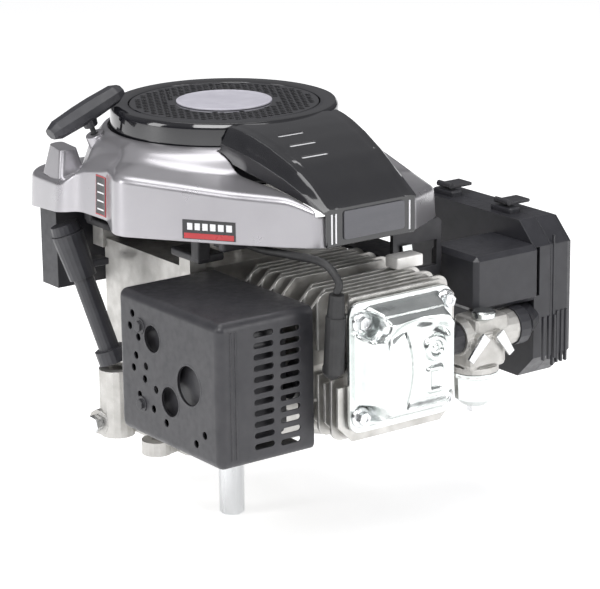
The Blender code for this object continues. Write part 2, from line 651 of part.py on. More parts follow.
def make_air_cleaner():
    x0, x1 = CLEANER_X
    duct_y, duct_z = (-190, -128), (122, 170)
    outline = cleaner_outline(0.0)
    tray = prism(outline, x0, CLEANER_SEAM_X, axis=0)
    duct = block((117, x0 + 3), duct_y, duct_z, bevel=4, segments=1)
    way_out = round_bar((140, CARB.y + 2, CARB.z + 8), (200, CARB.y + 20, CARB.z + 8), 9, sides=12)
    hollow = prism(cleaner_outline(3.0), x0 + 3, CLEANER_SEAM_X + 5, axis=0)
    duct_hollow = block((120, x0 + 6), (duct_y[0] + 3, duct_y[1] - 3), (duct_z[0] + 3, duct_z[1] - 3))
    throat = round_bar((165, CARB.y + 1, CARB.z + 8), (x0 + 2, CARB.y + 16, CARB.z + 8), 14, sides=16)
    collar = round_bar((155.4, CARB.y, CARB.z + 8), (166, CARB.y, CARB.z + 8), 16.4, sides=16)
    ears = [block((x0 + 6, CLEANER_SEAM_X), (y - 13, y + 13), (CLEANER_Z[1] - 1, CLEANER_Z[1] + 5), bevel=1.5)
            for y in CLIP_Y]
    solid("air_cleaner_base", "black_plastic", tray, add=[duct, throat, collar, *ears], cut=[hollow, duct_hollow, way_out])
    solid("filter_element", "foam", prism(cleaner_outline(8.0), x0 + 6, CLEANER_SEAM_X + 14, axis=0))
    cover = prism(outline, CLEANER_SEAM_X + GAP, x1 - 8, axis=0)
    face = lofted([
        [(x, u, v) for u, v in cleaner_outline(inset)] for x, inset in ((x1 - 8.2, 0.0), (x1 - 3, 2.0), (x1, 7.0))
    ])
    inside = prism(cleaner_outline(3.0), CLEANER_SEAM_X - 5, x1 - 6, axis=0)
    solid("air_cleaner_cover", "black_plastic", cover, add=[face], cut=[inside])
    for number, y in enumerate(CLIP_Y, 1):
        pivot = (x0 + 9, y, CLEANER_Z[1] + 9)
        plate = block((x0 + 9, CLEANER_SEAM_X + 14), (y - 9, y + 9), (CLEANER_Z[1] + 6.5, CLEANER_Z[1] + 9.5), bevel=0.8)
        roll = round_bar((x0 + 9, y - 9, CLEANER_Z[1] + 9), (x0 + 9, y + 9, CLEANER_Z[1] + 9), 2.6, sides=12)
        solid(f"cleaner_clip_{number}", "black_steel", plate, add=[roll], pivot=pivot)


def cleaner_outline(inset):
    """The air cleaner's outline across Y and Z, with cut corners."""
    y0, y1 = CLEANER_Y[0] + inset, CLEANER_Y[1] - inset
    z0, z1 = CLEANER_Z[0] + inset, CLEANER_Z[1] - inset
    c = 20.0 - 0.6 * inset
    return [(y0 + c, z0), (y1 - c, z0), (y1, z0 + c), (y1, z1 - c), (y1 - c, z1), (y0 + c, z1), (y0, z1 - c), (y0, z0 + c)]


def make_controls():
    plate = block((62, 113), (-150, -146), (150, 198), bevel=3, segments=1, along=1)
    shelf = block((62, 96), (-148, -60.4), (166.5, 169.5))
    window = block((84, 108), (-160, -140), (158, 180))
    pivot_hole = round_bar((74, -160, 176), (74, -140, 176), 3.0, sides=12)
    solid("control_bracket", "black_steel", plate, add=[shelf], cut=[window, pivot_hole])
    pivot = Vector((74, -151, 176))
    arm = prism([(pivot.x - 5, pivot.z + 5), (pivot.x + 5, pivot.z + 5), (pivot.x + 13, pivot.z - 62),
                 (pivot.x + 7, pivot.z - 62)], pivot.y - 2.4, pivot.y - 0.2, axis=1)
    pin = round_bar(pivot + Vector((0, -1, 0)), pivot + Vector((0, 6, 0)), 2.4, sides=12)
    solid("governor_arm", "zinc_plate", arm, add=[pin], pivot=pivot)


# Blower housing, cover and recoil starter


def rim(angle):
    """The housing's side in a direction: its distance from the crankshaft's axis, lower edge and upper edge."""
    direction = Vector((math.cos(angle), math.sin(angle)))
    found = []
    for a, b in zip(HOUSING_RIM, HOUSING_RIM[1:] + HOUSING_RIM[:1]):
        edge = Vector(b[:2]) - Vector(a[:2])
        cross = direction.x * edge.y - direction.y * edge.x
        if abs(cross) < 1e-9:
            continue
        distance = (a[0] * edge.y - a[1] * edge.x) / cross
        share = (a[0] * direction.y - a[1] * direction.x) / cross
        if distance > 0 and -1e-9 <= share <= 1 + 1e-9:
            found.append((distance, a[2] + (b[2] - a[2]) * share, a[3] + (b[3] - a[3]) * share))
    return max(found)


def housing_section(level, angles, inner):
    """One ring of the housing, at a level from 0 at the skirt's edge to 5 at the air inlet."""
    ring = []
    for angle in angles:
        far, low, top = rim(angle)
        radius, height = (
            (far, low), (far - 1.5, top - 2.5), (far - 5, top), (min(far - 14, 122), top + 5.6),
            (min(far - 17, 113), top + 5.6 + 0.66 * (263.4 - top)), (101.0, 269.0), (98.0, 269.0),
        )[level]
        if inner and level < 6:
            radius -= HOUSING_THICK
            height -= HOUSING_THICK if level else 0.0
        ring.append((radius * math.cos(angle), radius * math.sin(angle), height))
    return ring


def tongue_outline(margin):
    back, front = COVER_HALF
    return [(-back - margin, COVER_BACK_Y + 4), (-front - margin, COVER_FRONT_Y + 6), (-front - margin, -230),
            (front + margin, -230), (front + margin, COVER_FRONT_Y + 6), (back + margin, COVER_BACK_Y + 4)]


def make_blower_housing():
    corners = sorted(math.atan2(row[1], row[0]) % (2 * math.pi) for row in HOUSING_RIM)
    angles = []
    for a, b in zip(corners, [*corners[1:], corners[0] + 2 * math.pi]):
        steps = math.ceil(math.degrees(b - a) / 15.0)
        angles += [a + (b - a) * i / steps for i in range(steps)]
    outer = [housing_section(level, angles, False) for level in range(7)]
    inner = [housing_section(level, angles, True) for level in (5, 4, 3, 2, 1, 0)]
    inner[0] = [(x * 98.0 / (101.0 - HOUSING_THICK), y * 98.0 / (101.0 - HOUSING_THICK), z) for x, y, z in inner[0]]
    bm = bmesh.new()
    rings = [[bm.verts.new(point) for point in section] for section in (*outer, *inner)]
    for first, second in zip(rings, rings[1:] + rings[:1]):
        join_rings(bm, first, second)
    low = CRANKCASE_TOP + 12 + GAP
    corners = ((-1, -1), (1, -1), (-1, 1), (1, 1))
    legs = []
    for sx, sy in corners:
        far, _, top = rim(math.atan2(sy, sx) % (2 * math.pi))
        share = (far - 5 - 88 * math.sqrt(2)) / (far - 5 - min(far - 14, 122))
        legs.append(block(span(sx * 76, sx * 88), span(sy * 76, sy * 88), (low, top + 5.6 * share - 1.0)))
    feet = [block(span(sx * 62, sx * 87), span(sy * 45, sy * 87), (low + 0.2, low + 8)) for sx, sy in corners]
    hump = lofted([
        [(-127, 60, z), (-118, 104, z), (-96, 108, z), (-100, 58, z)] if z < 240 else
        [(-121, 66, z), (-114, 98, z), (-100, 100, z), (-104, 66, z)] for z in (224.0, 249.0)
    ])
    guide = round_bar(ROPE_EXIT - PULL_DIRECTION * 14, ROPE_EXIT - PULL_DIRECTION * 1.0, 8, sides=16)
    tongue = prism(tongue_outline(1.5), 231.0, 300.0)
    neck = round_bar((FUEL_NECK.x, FUEL_NECK.y, 200), (FUEL_NECK.x, FUEL_NECK.y, 300), 23.8, sides=24)
    rope_hole = round_bar(ROPE_EXIT - PULL_DIRECTION * 40, ROPE_EXIT + PULL_DIRECTION * 10, ROPE_R + 1.2, sides=12)
    solid("blower_housing", "silver_paint", bm, add=[*legs, *feet, hump, guide],
          cut=[tongue, neck, rope_hole])


def make_top_cover():
    ring = turned([(RING_R, 262), (RING_R, 284), (RING_R - 3, RING_TOP), (84, RING_TOP), (80.4, 286), (80.4, 280),
                   (83, 280), (84.5, 284), (91.5, 284), (92.5, 262)], sides=24)
    back, front = COVER_HALF
    hump = []
    for y, top in COVER_CROWN:
        share = (y - COVER_CROWN[0][0]) / (COVER_CROWN[-1][0] - COVER_CROWN[0][0])
        half = back + (front - back) * share
        edge = COVER_EDGE_Z[0] + (COVER_EDGE_Z[1] - COVER_EDGE_Z[0]) * share
        shoulder = 0.86 * half
        hump.append([
            (-half, y, edge), (-half, y, edge + 0.55 * (top - edge)), (-shoulder, y, top), (shoulder, y, top),
            (half, y, edge + 0.55 * (top - edge)), (half, y, edge), (half - 3, y, edge - 0.4),
            (half - 3, y, edge + 0.55 * (top - edge) - 1.5), (shoulder - 1, y, top - 2.8), (1 - shoulder, y, top - 2.8),
            (3 - half, y, edge + 0.55 * (top - edge) - 1.5), (3 - half, y, edge - 0.4),
        ])
    hump.append([(0.985 * x, COVER_FRONT_Y - 3.2, z - 1.5) for x, _, z in hump[-1]])
    lip = block((-43, 45), (COVER_FRONT_Y - 2.9, COVER_FRONT_Y + 0.4), (207, COVER_CROWN[-1][1] - 2.2))
    solid("top_cover", "gloss_plastic", ring, add=[lofted([section[::-1] for section in hump]), lip])


def make_grille():
    disc = round_bar((0, 0, 283), (0, 0, GRILLE_Z), GRILLE_R, sides=24)
    holes = []
    for radius, count in ((51, 11), (68, 14)):
        for i in range(count):
            angle = 2 * math.pi * i / count
            x, y = radius * math.cos(angle), radius * math.sin(angle)
            holes.append(round_bar((x, y, 275), (x, y, 295), 6.0, sides=6))
    solid("grille_screen", "gloss_plastic", disc, cut=[several(holes)])
    solid("badge_disc", "grey_plastic", round_bar((0, 0, GRILLE_Z + GAP), (0, 0, GRILLE_Z + 1.8), 40, sides=24))


def make_recoil_starter():
    plate = round_bar((0, 0, 277), (0, 0, 281.5), 56, sides=24)
    arms = [round_bar((0, 0, 277.5), (90.5 * math.cos(a), 90.5 * math.sin(a), 277.5), 2.2, sides=8)
            for a in (math.radians(30), math.radians(150), math.radians(270))]
    pin = round_bar((0, 0, 264), (0, 0, 280), 6, sides=16)
    solid("recoil_housing", "black_steel", plate, add=[*arms, pin])
    low, high = PULLEY_Z
    centre = axis_empty("starter_axis", (0, 0, (low + high) / 2))
    pulley = turned([(7, low), (PULLEY_R + 4, low), (PULLEY_R + 4, low + 2), (PULLEY_R, low + 4), (PULLEY_R, high - 4),
                     (PULLEY_R + 4, high - 2), (PULLEY_R + 4, high), (7, high)], sides=24)
    solid("starter_pulley", "black_plastic", pulley, pivot=(0, 0, (low + high) / 2), parent=centre)

    along = Vector((PULL_DIRECTION.z, 0, -PULL_DIRECTION.x))
    side = Vector((0, 1, 0))
    up = PULL_DIRECTION
    sections = []
    for place, width, depth in ((-37, 7, 5), (-30, 10, 8), (-8, 11, 9), (8, 11, 9), (30, 10, 8), (37, 7, 5)):
        middle = GRIP_CENTRE + along * place
        sections.append([middle + side * (width * math.cos(a)) + up * (depth * math.sin(a))
                         for a in [math.radians(45 * i + 22.5) for i in range(8)]])
    stem = round_bar(GRIP_CENTRE, GRIP_CENTRE - up * 13, 8, 6, sides=12)
    eye = round_bar(GRIP_CENTRE - up * 20, GRIP_CENTRE - up * 8, ROPE_R + 0.5, sides=12)
    solid("pull_grip", "black_plastic", lofted(sections), add=[stem], cut=[eye], pivot=GRIP_CENTRE)
    route = [ROPE_EXIT + up * (-24 + 4 * i) for i in range(9)]
    cord_object("starter_rope", "cord", route, ROPE_R)


# Fuel and oil


def make_fuel_tank():
    corners = [(TANK_X[0], TANK_Y[0]), (TANK_X[1] - 10, TANK_Y[0]), (TANK_X[1], TANK_Y[0] + 10),
               (TANK_X[1], TANK_Y[1] - 20), (TANK_X[1] - 24, TANK_Y[1]), (TANK_X[0] + 22, TANK_Y[1]),
               (TANK_X[0], TANK_Y[1] - 20)]
    body = prism(corners, *TANK_Z)
    x, y, top = FUEL_NECK
    neck = round_bar((x, y, TANK_Z[1] - 4), (x, y, top), 15, sides=16)
    hollow = block((TANK_X[0] + 6, TANK_X[1] - 12), (TANK_Y[0] + 4, TANK_Y[1] - 20), (TANK_Z[0] + 3, TANK_Z[1] - 3))
    way = round_bar((x, y, TANK_Z[0] + 20), (x, y, top + 5), 12.4, sides=20)
    outlet = round_bar((98, 118, 130), (112, 118, 130), 3.6, sides=12)
    solid("fuel_tank", "black_plastic", body, add=[neck, outlet], cut=[hollow, way])
    cap = turned([(16, top - 10), (21.5, top - 10), (22.5, top - 6), (22.5, top + 9), (20, top + 12), (2, top + 12),
                  (2, top + GAP), (16, top + GAP)], (x, y, 0), sides=20)
    plug = round_bar((x, y, top + 1), (x, y, top + 12), 6, sides=12)
    solid("fuel_cap", "black_plastic", cap, add=[plug], pivot=(x, y, top))
    route = smooth_route([(112.8, 118, 130), (124, 114, 129), (140, 80, 120), (142, 0, 106), (138, -80, 96),
                          (124, -130, 90), (CARB.x, CARB.y + 17.8, 88)], 5)
    cord_object("fuel_hose", "rubber", route, 4.0)


def make_oil_filler():
    axis = (FILLER_TOP - FILLER_FOOT).normalized()
    foot = FILLER_FOOT + axis * 5.5
    tube = round_bar(foot, FILLER_TOP, FILLER_R, sides=20)
    collar = round_bar(foot, foot + axis * 12, 13, sides=20)
    head = round_bar(FILLER_TOP - axis * 40, FILLER_TOP, 12, 14, sides=20)
    bracket = block((-110, -86), (52, 66), (148, 154), bevel=1)
    way = round_bar(foot - axis * 10, FILLER_TOP + axis * 10, 6.8, sides=16)
    solid("oil_filler_tube", "black_plastic", tube, add=[collar, head, bracket], cut=[way])
    cap_low = FILLER_TOP + axis * GAP
    cap = round_bar(cap_low, cap_low + axis * 8, 13, 12, sides=20)
    blade = round_bar(FILLER_TOP - axis * 95, cap_low + axis * 2, 2.2, sides=10)
    solid("dipstick", "black_plastic", cap, add=[blade], pivot=FILLER_TOP)
    out = (DRAIN_OUT - DRAIN_IN).normalized()
    start = DRAIN_OUT + out * 0.4
    end = DRAIN_IN
    head = round_bar(start, start + out * 8, 7.5, sides=6)
    solid("oil_drain_bolt", "bright_steel", head, add=[round_bar(start + out, end, 5.6, sides=12)])


# Crank train


def gear_outline(teeth, phase):
    """Straight-sided teeth with running backlash, one tooth centred on the phase angle."""
    pitch_r = GEAR_MODULE * teeth / 2
    step = 2 * math.pi / teeth
    outline = []
    for i in range(teeth):
        middle = phase + i * step
        for radius, offset in ((pitch_r - 1.25 * GEAR_MODULE, -0.36), (pitch_r + 0.85 * GEAR_MODULE, -0.13),
                               (pitch_r + 0.85 * GEAR_MODULE, 0.13), (pitch_r - 1.25 * GEAR_MODULE, 0.36)):
            angle = middle + offset * step
            outline.append((radius * math.cos(angle), radius * math.sin(angle)))
    return outline


def make_crank():
    axis = axis_empty("crank_axis", (0, 0, 0))
    z = CYLINDER_Z
    shaft = turned([(0.01, -SHAFT_LENGTH), (SHAFT_R - 1, -SHAFT_LENGTH), (SHAFT_R, -SHAFT_LENGTH + 1), (SHAFT_R, -6),
                    (JOURNAL_R, -4.7), (JOURNAL_R, 62), (11.2, 62.5), (11.2, 84), (JOURNAL_R + 3, 84), (JOURNAL_R + 3, 95),
                    (0.01, 95)], sides=20)
    upper = turned([(0.01, 143), (JOURNAL_R + 3, 143), (JOURNAL_R + 3, 147), (JOURNAL_R, 148), (JOURNAL_R, 190),
                    (10, 210), (10, 238), (6, 240), (6, 262), (0.01, 262)], sides=20)
    lower_web = round_bar((0, 0, z - 25), (0, 0, z - 12), WEB_R, sides=24)
    upper_web = round_bar((0, 0, z + 12), (0, 0, z + 25), WEB_R, sides=24)
    pin = round_bar((0, THROW, z - 14), (0, THROW, z + 14), CRANKPIN_R, sides=16)
    # Only the output end has a keyway and a threaded hole for the blade or pulley bolt.
    keyway = block((-2.4, 2.4), (SHAFT_R - 2.6, SHAFT_R + 3), (-SHAFT_LENGTH - 5, -SHAFT_LENGTH + 38))
    end_hole = round_bar((0, 0, -SHAFT_LENGTH - 5), (0, 0, -SHAFT_LENGTH + 26), 4.2, sides=12)
    solid("crankshaft", "bright_steel", shaft, add=[lower_web, pin, upper_web, upper], cut=[keyway, end_hole],
          pivot=(0, 0, 0), parent=axis)
    towards_cam = math.atan2(CAM_CENTRE_Y, CAM_CENTRE_X)
    gear = prism(gear_outline(CRANK_TEETH, towards_cam), *GEAR_Z)
    solid("crank_gear", "bright_steel", gear, cut=[round_bar((0, 0, 50), (0, 0, 90), 11.6, sides=20)], pivot=(0, 0, 0),
          parent=axis)
    wheel = turned([(10.6, 206), (88, 212), (88, 234), (82, 234), (82, 222), (30, 222), (24, 236), (10.6, 236)], sides=28)
    solid("flywheel", "cast_alloy", wheel, pivot=(0, 0, 0), parent=axis)
    fan_disc = turned([(26, 236.5), (86, 234.4), (86, 237), (60, 239.5), (26, 239.5)], sides=28)
    blades = []
    for i in range(12):
        blade = block((44, 84), (-1.2, 1.2), (236.2, 254))
        blade.transform(Matrix.Rotation(2 * math.pi * i / 12, 4, "Z"))
        blades.append(blade)
    solid("cooling_fan", "black_plastic", fan_disc, add=[several(blades)], pivot=(0, 0, 0), parent=axis)
    cup = turned([(6.5, 240.5), (36, 240.5), (38, 243), (38, 258), (36, 258), (36, 244), (6.5, 244)], sides=28)
    solid("starter_cup", "bright_steel", cup, pivot=(0, 0, 0), parent=axis)
    nut = hexagon((0, 0), 24, 244.4, 254)
    solid("flywheel_nut", "bright_steel", nut, cut=[round_bar((0, 0, 240), (0, 0, 260), 6.4, sides=16)], pivot=(0, 0, 0),
          parent=axis)


def cam_outline(angle):
    """One lobe: a base circle and a rounded nose, pointing at an angle."""
    outline = []
    for i in range(16):
        turn = 2 * math.pi * i / 16
        lift = CAM_LIFT * max(0.0, math.cos(turn)) ** 3
        radius = CAM_BASE_R + lift
        outline.append((radius * math.cos(turn + angle), radius * math.sin(turn + angle)))
    return outline


def make_camshaft():
    centre = Vector((CAM_CENTRE_X, CAM_CENTRE_Y, 0))
    axis = axis_empty("cam_axis", centre)

    def at_centre(bm):
        bm.transform(Matrix.Translation(centre))
        return bm

    towards_crank = math.atan2(-CAM_CENTRE_Y, -CAM_CENTRE_X)
    gear = at_centre(prism(gear_outline(CAM_TEETH, towards_crank + math.pi / CAM_TEETH), *GEAR_Z))
    spindle = at_centre(round_bar((0, 0, 29), (0, 0, 156), 6.0, sides=16))
    lobes = [
        at_centre(prism(cam_outline(math.radians(lobe)), CYLINDER_Z + dz - 5, CYLINDER_Z + dz + 5))
        for dz, lobe in ((LIFTER_OFFSET_Z, 40), (-LIFTER_OFFSET_Z, 145))
    ]
    solid("camshaft", "bright_steel", gear, add=[spindle, *lobes], pivot=centre, parent=axis)


def make_piston():
    pin_y = THROW - ROD_LENGTH
    crown = pin_y - PISTON_TOP
    axis = axis_empty("piston_axis", (0, pin_y, CYLINDER_Z))
    pivot = (0, pin_y, CYLINDER_Z)
    body = round_bar((0, crown, CYLINDER_Z), (0, crown + PISTON_LENGTH, CYLINDER_Z), BORE / 2 - 0.2, sides=28)
    # A closed crown 9 mm thick, and a hollow skirt behind it.
    hollow = round_bar((0, crown + 9, CYLINDER_Z), (0, crown + PISTON_LENGTH + 5, CYLINDER_Z), BORE / 2 - 4.5, sides=20)
    bosses = [round_bar((0, pin_y, CYLINDER_Z + s * 14), (0, pin_y, CYLINDER_Z + s * 29), 12, sides=16) for s in (-1, 1)]
    pin_hole = round_bar((0, pin_y, CYLINDER_Z - 40), (0, pin_y, CYLINDER_Z + 40), WRIST_PIN_R + 0.3, sides=20)
    piston = solid("piston", "cast_alloy", body, cut=[hollow], pivot=pivot, parent=axis)
    for number, (operation, shape) in enumerate([("UNION", bosses[0]), ("UNION", bosses[1]), ("DIFFERENCE", pin_hole)]):
        modifier = piston.modifiers.new(f"boss_{number}", "BOOLEAN")
        modifier.operation = operation
        modifier.object = helper(f"piston.boss_{number}", shape)
    pin = round_bar((0, pin_y, CYLINDER_Z - 27), (0, pin_y, CYLINDER_Z + 27), WRIST_PIN_R, sides=20)
    solid("wrist_pin", "bright_steel", pin, pivot=pivot, parent=axis)
    make_rod(pin_y, pivot, axis)


def make_rod(pin_y, pivot, axis):
    """The rod ends in an open saddle just outside the circle that the crankpin sweeps."""
    z0, z1 = CYLINDER_Z - 9, CYLINDER_Z + 9
    swept = THROW + CRANKPIN_R + 0.8
    small_end = round_bar((0, pin_y, z0), (0, pin_y, z1), 12.5, sides=16)
    foot = -swept - 6
    beam = block((-7, 7), (pin_y + 4, foot + 3), (z0 + 3, z1 - 3))
    saddle = block((-16, 16), (foot - 8, -24), (z0, z1), bevel=4, along=2)
    orbit = round_bar((0, 0, z0 - 10), (0, 0, z1 + 10), swept, sides=24)
    pin_hole = round_bar((0, pin_y, z0 - 5), (0, pin_y, z1 + 5), WRIST_PIN_R + 0.3, sides=20)
    solid("connecting_rod", "cast_alloy", small_end, add=[beam, saddle], cut=[orbit, pin_hole], pivot=pivot, parent=axis)


# Valve train


def pushrod_at(y):
    """The point of a pushrod's axis, without its height, at a distance along the cylinder."""
    start = Vector((CAM_CENTRE_X, CAM_CENTRE_Y - CAM_BASE_R - CAM_LIFT - 7, 0))
    end = Vector((PUSHROD_X, ROCKER_Y + 4.6, 0))
    return start.lerp(end, (y - start.y) / (end.y - start.y))


def spring_route(x, y_low, y_high, z, turns=3.0, radius=7.2):
    points = []
    steps = int(turns * 8)
    for i in range(steps + 1):
        angle = 2 * math.pi * turns * i / steps
        y = y_low + (y_high - y_low) * i / steps
        points.append((x + radius * math.cos(angle), y, z + radius * math.sin(angle)))
    return points


def make_valve_train():
    for name, sign in (("intake", 1), ("exhaust", -1)):
        z = CYLINDER_Z + sign * VALVE_OFFSET_Z
        head = round_bar((VALVE_X, -183, z), (VALVE_X, -185.6, z), 12.4, 11.4, sides=20)
        stem = round_bar((VALVE_X, -184, z), (VALVE_X, ROCKER_Y + 4.6, z), STEM_R, sides=12)
        retainer = round_bar((VALVE_X, -223.2, z), (VALVE_X, -225, z), 9.2, sides=16)
        solid(f"{name}_valve", "bright_steel", head, add=[stem, retainer], pivot=(VALVE_X, -184, z))
        cord_object(f"{name}_spring", "bright_steel", spring_route(VALVE_X, -214.6, -221.7, z), 1.1, resolution=0)

        lifter_z = CYLINDER_Z + sign * LIFTER_OFFSET_Z
        foot_y = CAM_CENTRE_Y - CAM_BASE_R - CAM_LIFT - 0.5  # just outside the circle that the lobes sweep
        lifter = round_bar((CAM_CENTRE_X, foot_y, lifter_z), (CAM_CENTRE_X, foot_y - 3, lifter_z), 10, sides=16)
        stub = round_bar((CAM_CENTRE_X, foot_y - 1, lifter_z), pushrod_at(foot_y - 14) + Vector((0, 0, lifter_z)), 5,
                         sides=12)
        shank = round_bar(pushrod_at(foot_y - 9) + Vector((0, 0, lifter_z)), Vector((PUSHROD_X, ROCKER_Y + 4.6, lifter_z)),
                          2.8, sides=12)
        solid(f"{name}_pushrod", "bright_steel", lifter, add=[stub, shank], pivot=(CAM_CENTRE_X, foot_y, lifter_z))

        rocker_z = (lifter_z - 5, z + 5) if sign > 0 else (z - 5, lifter_z + 5)
        low, high = rocker_z
        arms = prism([(VALVE_X - 2, z - 4), (VALVE_X - 2, z + 4), (ROCKER_X, high), (PUSHROD_X + 3.5, lifter_z + 4),
                      (PUSHROD_X + 3.5, lifter_z - 4), (ROCKER_X, low)], ROCKER_Y - 3.6, ROCKER_Y + 3.9, axis=1)
        hub = round_bar((ROCKER_X, ROCKER_Y, low + 0.5), (ROCKER_X, ROCKER_Y, high - 0.5), 6.2, sides=16)
        hole = round_bar((ROCKER_X, ROCKER_Y, low - 5), (ROCKER_X, ROCKER_Y, high + 5), 3.9, sides=16)
        solid(f"{name}_rocker", "bright_steel", arms, add=[hub], cut=[hole], pivot=(ROCKER_X, ROCKER_Y, z))


def clear_scene():
    for obj in list(bpy.data.objects):
        bpy.data.objects.remove(obj, do_unlink=True)


def main():
    clear_scene()
    make_sump()
    make_cylinder_block()
    make_cylinder_head()
    make_valve_cover()
    make_cover_bolts()
    make_ignition()
    make_exhaust()
    make_muffler_guard()
    make_intake()
    make_carburetor()
    make_air_cleaner()
    make_controls()
    make_blower_housing()
    make_top_cover()
    make_grille()
    make_recoil_starter()
    make_fuel_tank()
    make_oil_filler()
    make_crank()
    make_camshaft()
    make_piston()
    make_valve_train()
    bpy.context.view_layer.update()


main()
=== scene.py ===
"""The looks of a small vertical-shaft gasoline engine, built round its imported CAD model.

The origin is the centre of the sump's mounting face and +Z runs up the crankshaft. Shapes are drawn in
millimetres, in the CAD model's own frame, and piece() turns them into metres.
"""

import json
import math

import bmesh
import bpy
from mathutils import Matrix, Vector


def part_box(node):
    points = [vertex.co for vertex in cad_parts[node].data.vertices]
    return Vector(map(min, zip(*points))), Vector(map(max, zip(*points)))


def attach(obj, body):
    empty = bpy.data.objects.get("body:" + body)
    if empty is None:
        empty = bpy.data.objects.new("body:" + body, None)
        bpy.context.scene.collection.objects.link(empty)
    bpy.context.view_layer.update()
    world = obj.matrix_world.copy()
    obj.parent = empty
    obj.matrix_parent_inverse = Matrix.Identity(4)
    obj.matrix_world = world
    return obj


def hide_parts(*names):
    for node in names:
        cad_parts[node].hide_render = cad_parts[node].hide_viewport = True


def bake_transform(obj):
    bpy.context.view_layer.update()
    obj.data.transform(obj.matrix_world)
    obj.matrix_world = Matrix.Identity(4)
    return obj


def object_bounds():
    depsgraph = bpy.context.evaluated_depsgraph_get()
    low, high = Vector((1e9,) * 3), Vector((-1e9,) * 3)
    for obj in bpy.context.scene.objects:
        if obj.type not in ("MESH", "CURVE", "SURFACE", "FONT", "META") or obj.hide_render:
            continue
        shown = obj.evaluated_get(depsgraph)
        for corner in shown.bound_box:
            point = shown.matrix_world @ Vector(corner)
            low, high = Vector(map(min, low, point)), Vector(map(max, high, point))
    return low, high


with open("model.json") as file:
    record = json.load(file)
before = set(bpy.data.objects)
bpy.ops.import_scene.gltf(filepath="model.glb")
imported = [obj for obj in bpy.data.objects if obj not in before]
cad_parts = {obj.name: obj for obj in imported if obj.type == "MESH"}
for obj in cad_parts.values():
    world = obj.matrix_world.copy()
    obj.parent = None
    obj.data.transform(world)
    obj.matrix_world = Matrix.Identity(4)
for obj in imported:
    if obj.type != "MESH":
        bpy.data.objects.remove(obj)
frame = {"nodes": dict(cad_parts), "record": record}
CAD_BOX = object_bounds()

MM = 0.001


def cad(node):
    """A CAD node's lowest and highest corner, in millimetres."""
    low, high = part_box(node)
    return low / MM, high / MM


# Shapes, each a bmesh in millimetres


def block(x, y, z, bevel=0.0, segments=4, along=None):
    """A box between two limits on each axis. A bevel rounds every edge, or only those along one axis."""
    bm = bmesh.new()
    bmesh.ops.create_cube(bm, size=1.0)
    bm.transform(Matrix.Translation((sum(x) / 2, sum(y) / 2, sum(z) / 2))
                 @ Matrix.Diagonal((x[1] - x[0], y[1] - y[0], z[1] - z[0], 1.0)))
    if bevel:
        edges = bm.edges[:]
        if along is not None:
            edges = [e for e in edges if abs((e.verts[0].co - e.verts[1].co)[along]) > 1e-3]
        bmesh.ops.bevel(bm, geom=edges, offset=bevel, segments=segments, affect="EDGES", profile=0.5)
    return bm


def soften(bm, width, segments=2, angle=40.0):
    """Rounds every edge sharper than an angle."""
    limit = math.radians(angle)
    edges = [e for e in bm.edges if len(e.link_faces) == 2 and e.calc_face_angle(0.0) > limit]
    bmesh.ops.bevel(bm, geom=edges, offset=width, segments=segments, affect="EDGES", profile=0.5, clamp_overlap=True)
    return bm


def placed(bm, start, end):
    """A shape drawn along Z from 0, laid from start towards end."""
    span = Vector(end) - Vector(start)
    bm.transform(Matrix.Translation(start) @ Vector((0, 0, 1)).rotation_difference(span).to_matrix().to_4x4())
    return bm


def bar(start, end, radius, end_radius=None, sides=32, edge=0.0):
    """A round bar or a cone between two points, with its rims rounded by edge."""
    length = (Vector(end) - Vector(start)).length
    last = radius if end_radius is None else end_radius
    profile = [(0.0, 0.0), (radius, 0.0), (last, length), (0.0, length)]
    if edge:
        profile = [(0.0, 0.0), (radius - edge, 0.0), (radius - edge * 0.3, edge * 0.3), (radius, edge),
                   (last, length - edge), (last - edge * 0.3, length - edge * 0.3), (last - edge, length),
                   (0.0, length)]
    return placed(spun(profile, sides), start, end)


def spun(profile, sides=48):
    """A solid of revolution about Z from an open profile whose ends lie on the axis, or a closed one off it."""
    bm = bmesh.new()
    rings = []
    for radius, height in profile:
        if radius < 1e-6:
            rings.append([bm.verts.new((0.0, 0.0, height))])
            continue
        rings.append([bm.verts.new((radius * math.cos(2 * math.pi * i / sides),
                                    radius * math.sin(2 * math.pi * i / sides), height)) for i in range(sides)])
    pairs = list(zip(rings, rings[1:]))
    if len(rings[0]) > 1:
        pairs.append((rings[-1], rings[0]))
    for first, second in pairs:
        for i in range(sides):
            j = (i + 1) % sides
            corners = [first[i % len(first)], first[j % len(first)], second[j % len(second)], second[i % len(second)]]
            corners = list(dict.fromkeys(corners))
            if len(corners) > 2:
                bm.faces.new(corners)
    return bm


def turned(profile, centre=(0.0, 0.0, 0.0), sides=64):
    bm = spun(profile, sides)
    bm.transform(Matrix.Translation(centre))
    return bm


def prism(outline, low, high, axis=2, edge=0.0, segments=3):
    """A plate whose outline is drawn across an axis, between two heights on it, its two rims rounded by edge."""
    bm = bmesh.new()
    across = [i for i in range(3) if i != axis]
    rings = []
    for height in (low, high):
        ring = []
        for u, v in outline:
            point = [0.0, 0.0, 0.0]
            point[across[0]], point[across[1]], point[axis] = u, v, height
            ring.append(bm.verts.new(point))
        rings.append(ring)
    caps = [bm.faces.new(ring) for ring in rings]
    join_rings(bm, *rings)
    if edge:
        rims = [e for cap in caps for e in cap.edges]
        bmesh.ops.bevel(bm, geom=rims, offset=edge, segments=segments, affect="EDGES", profile=0.5)
    return bm


def join_rings(bm, first, second):
    count = len(first)
    for i in range(count):
        j = (i + 1) % count
        bm.faces.new((first[i], first[j], second[j], second[i]))


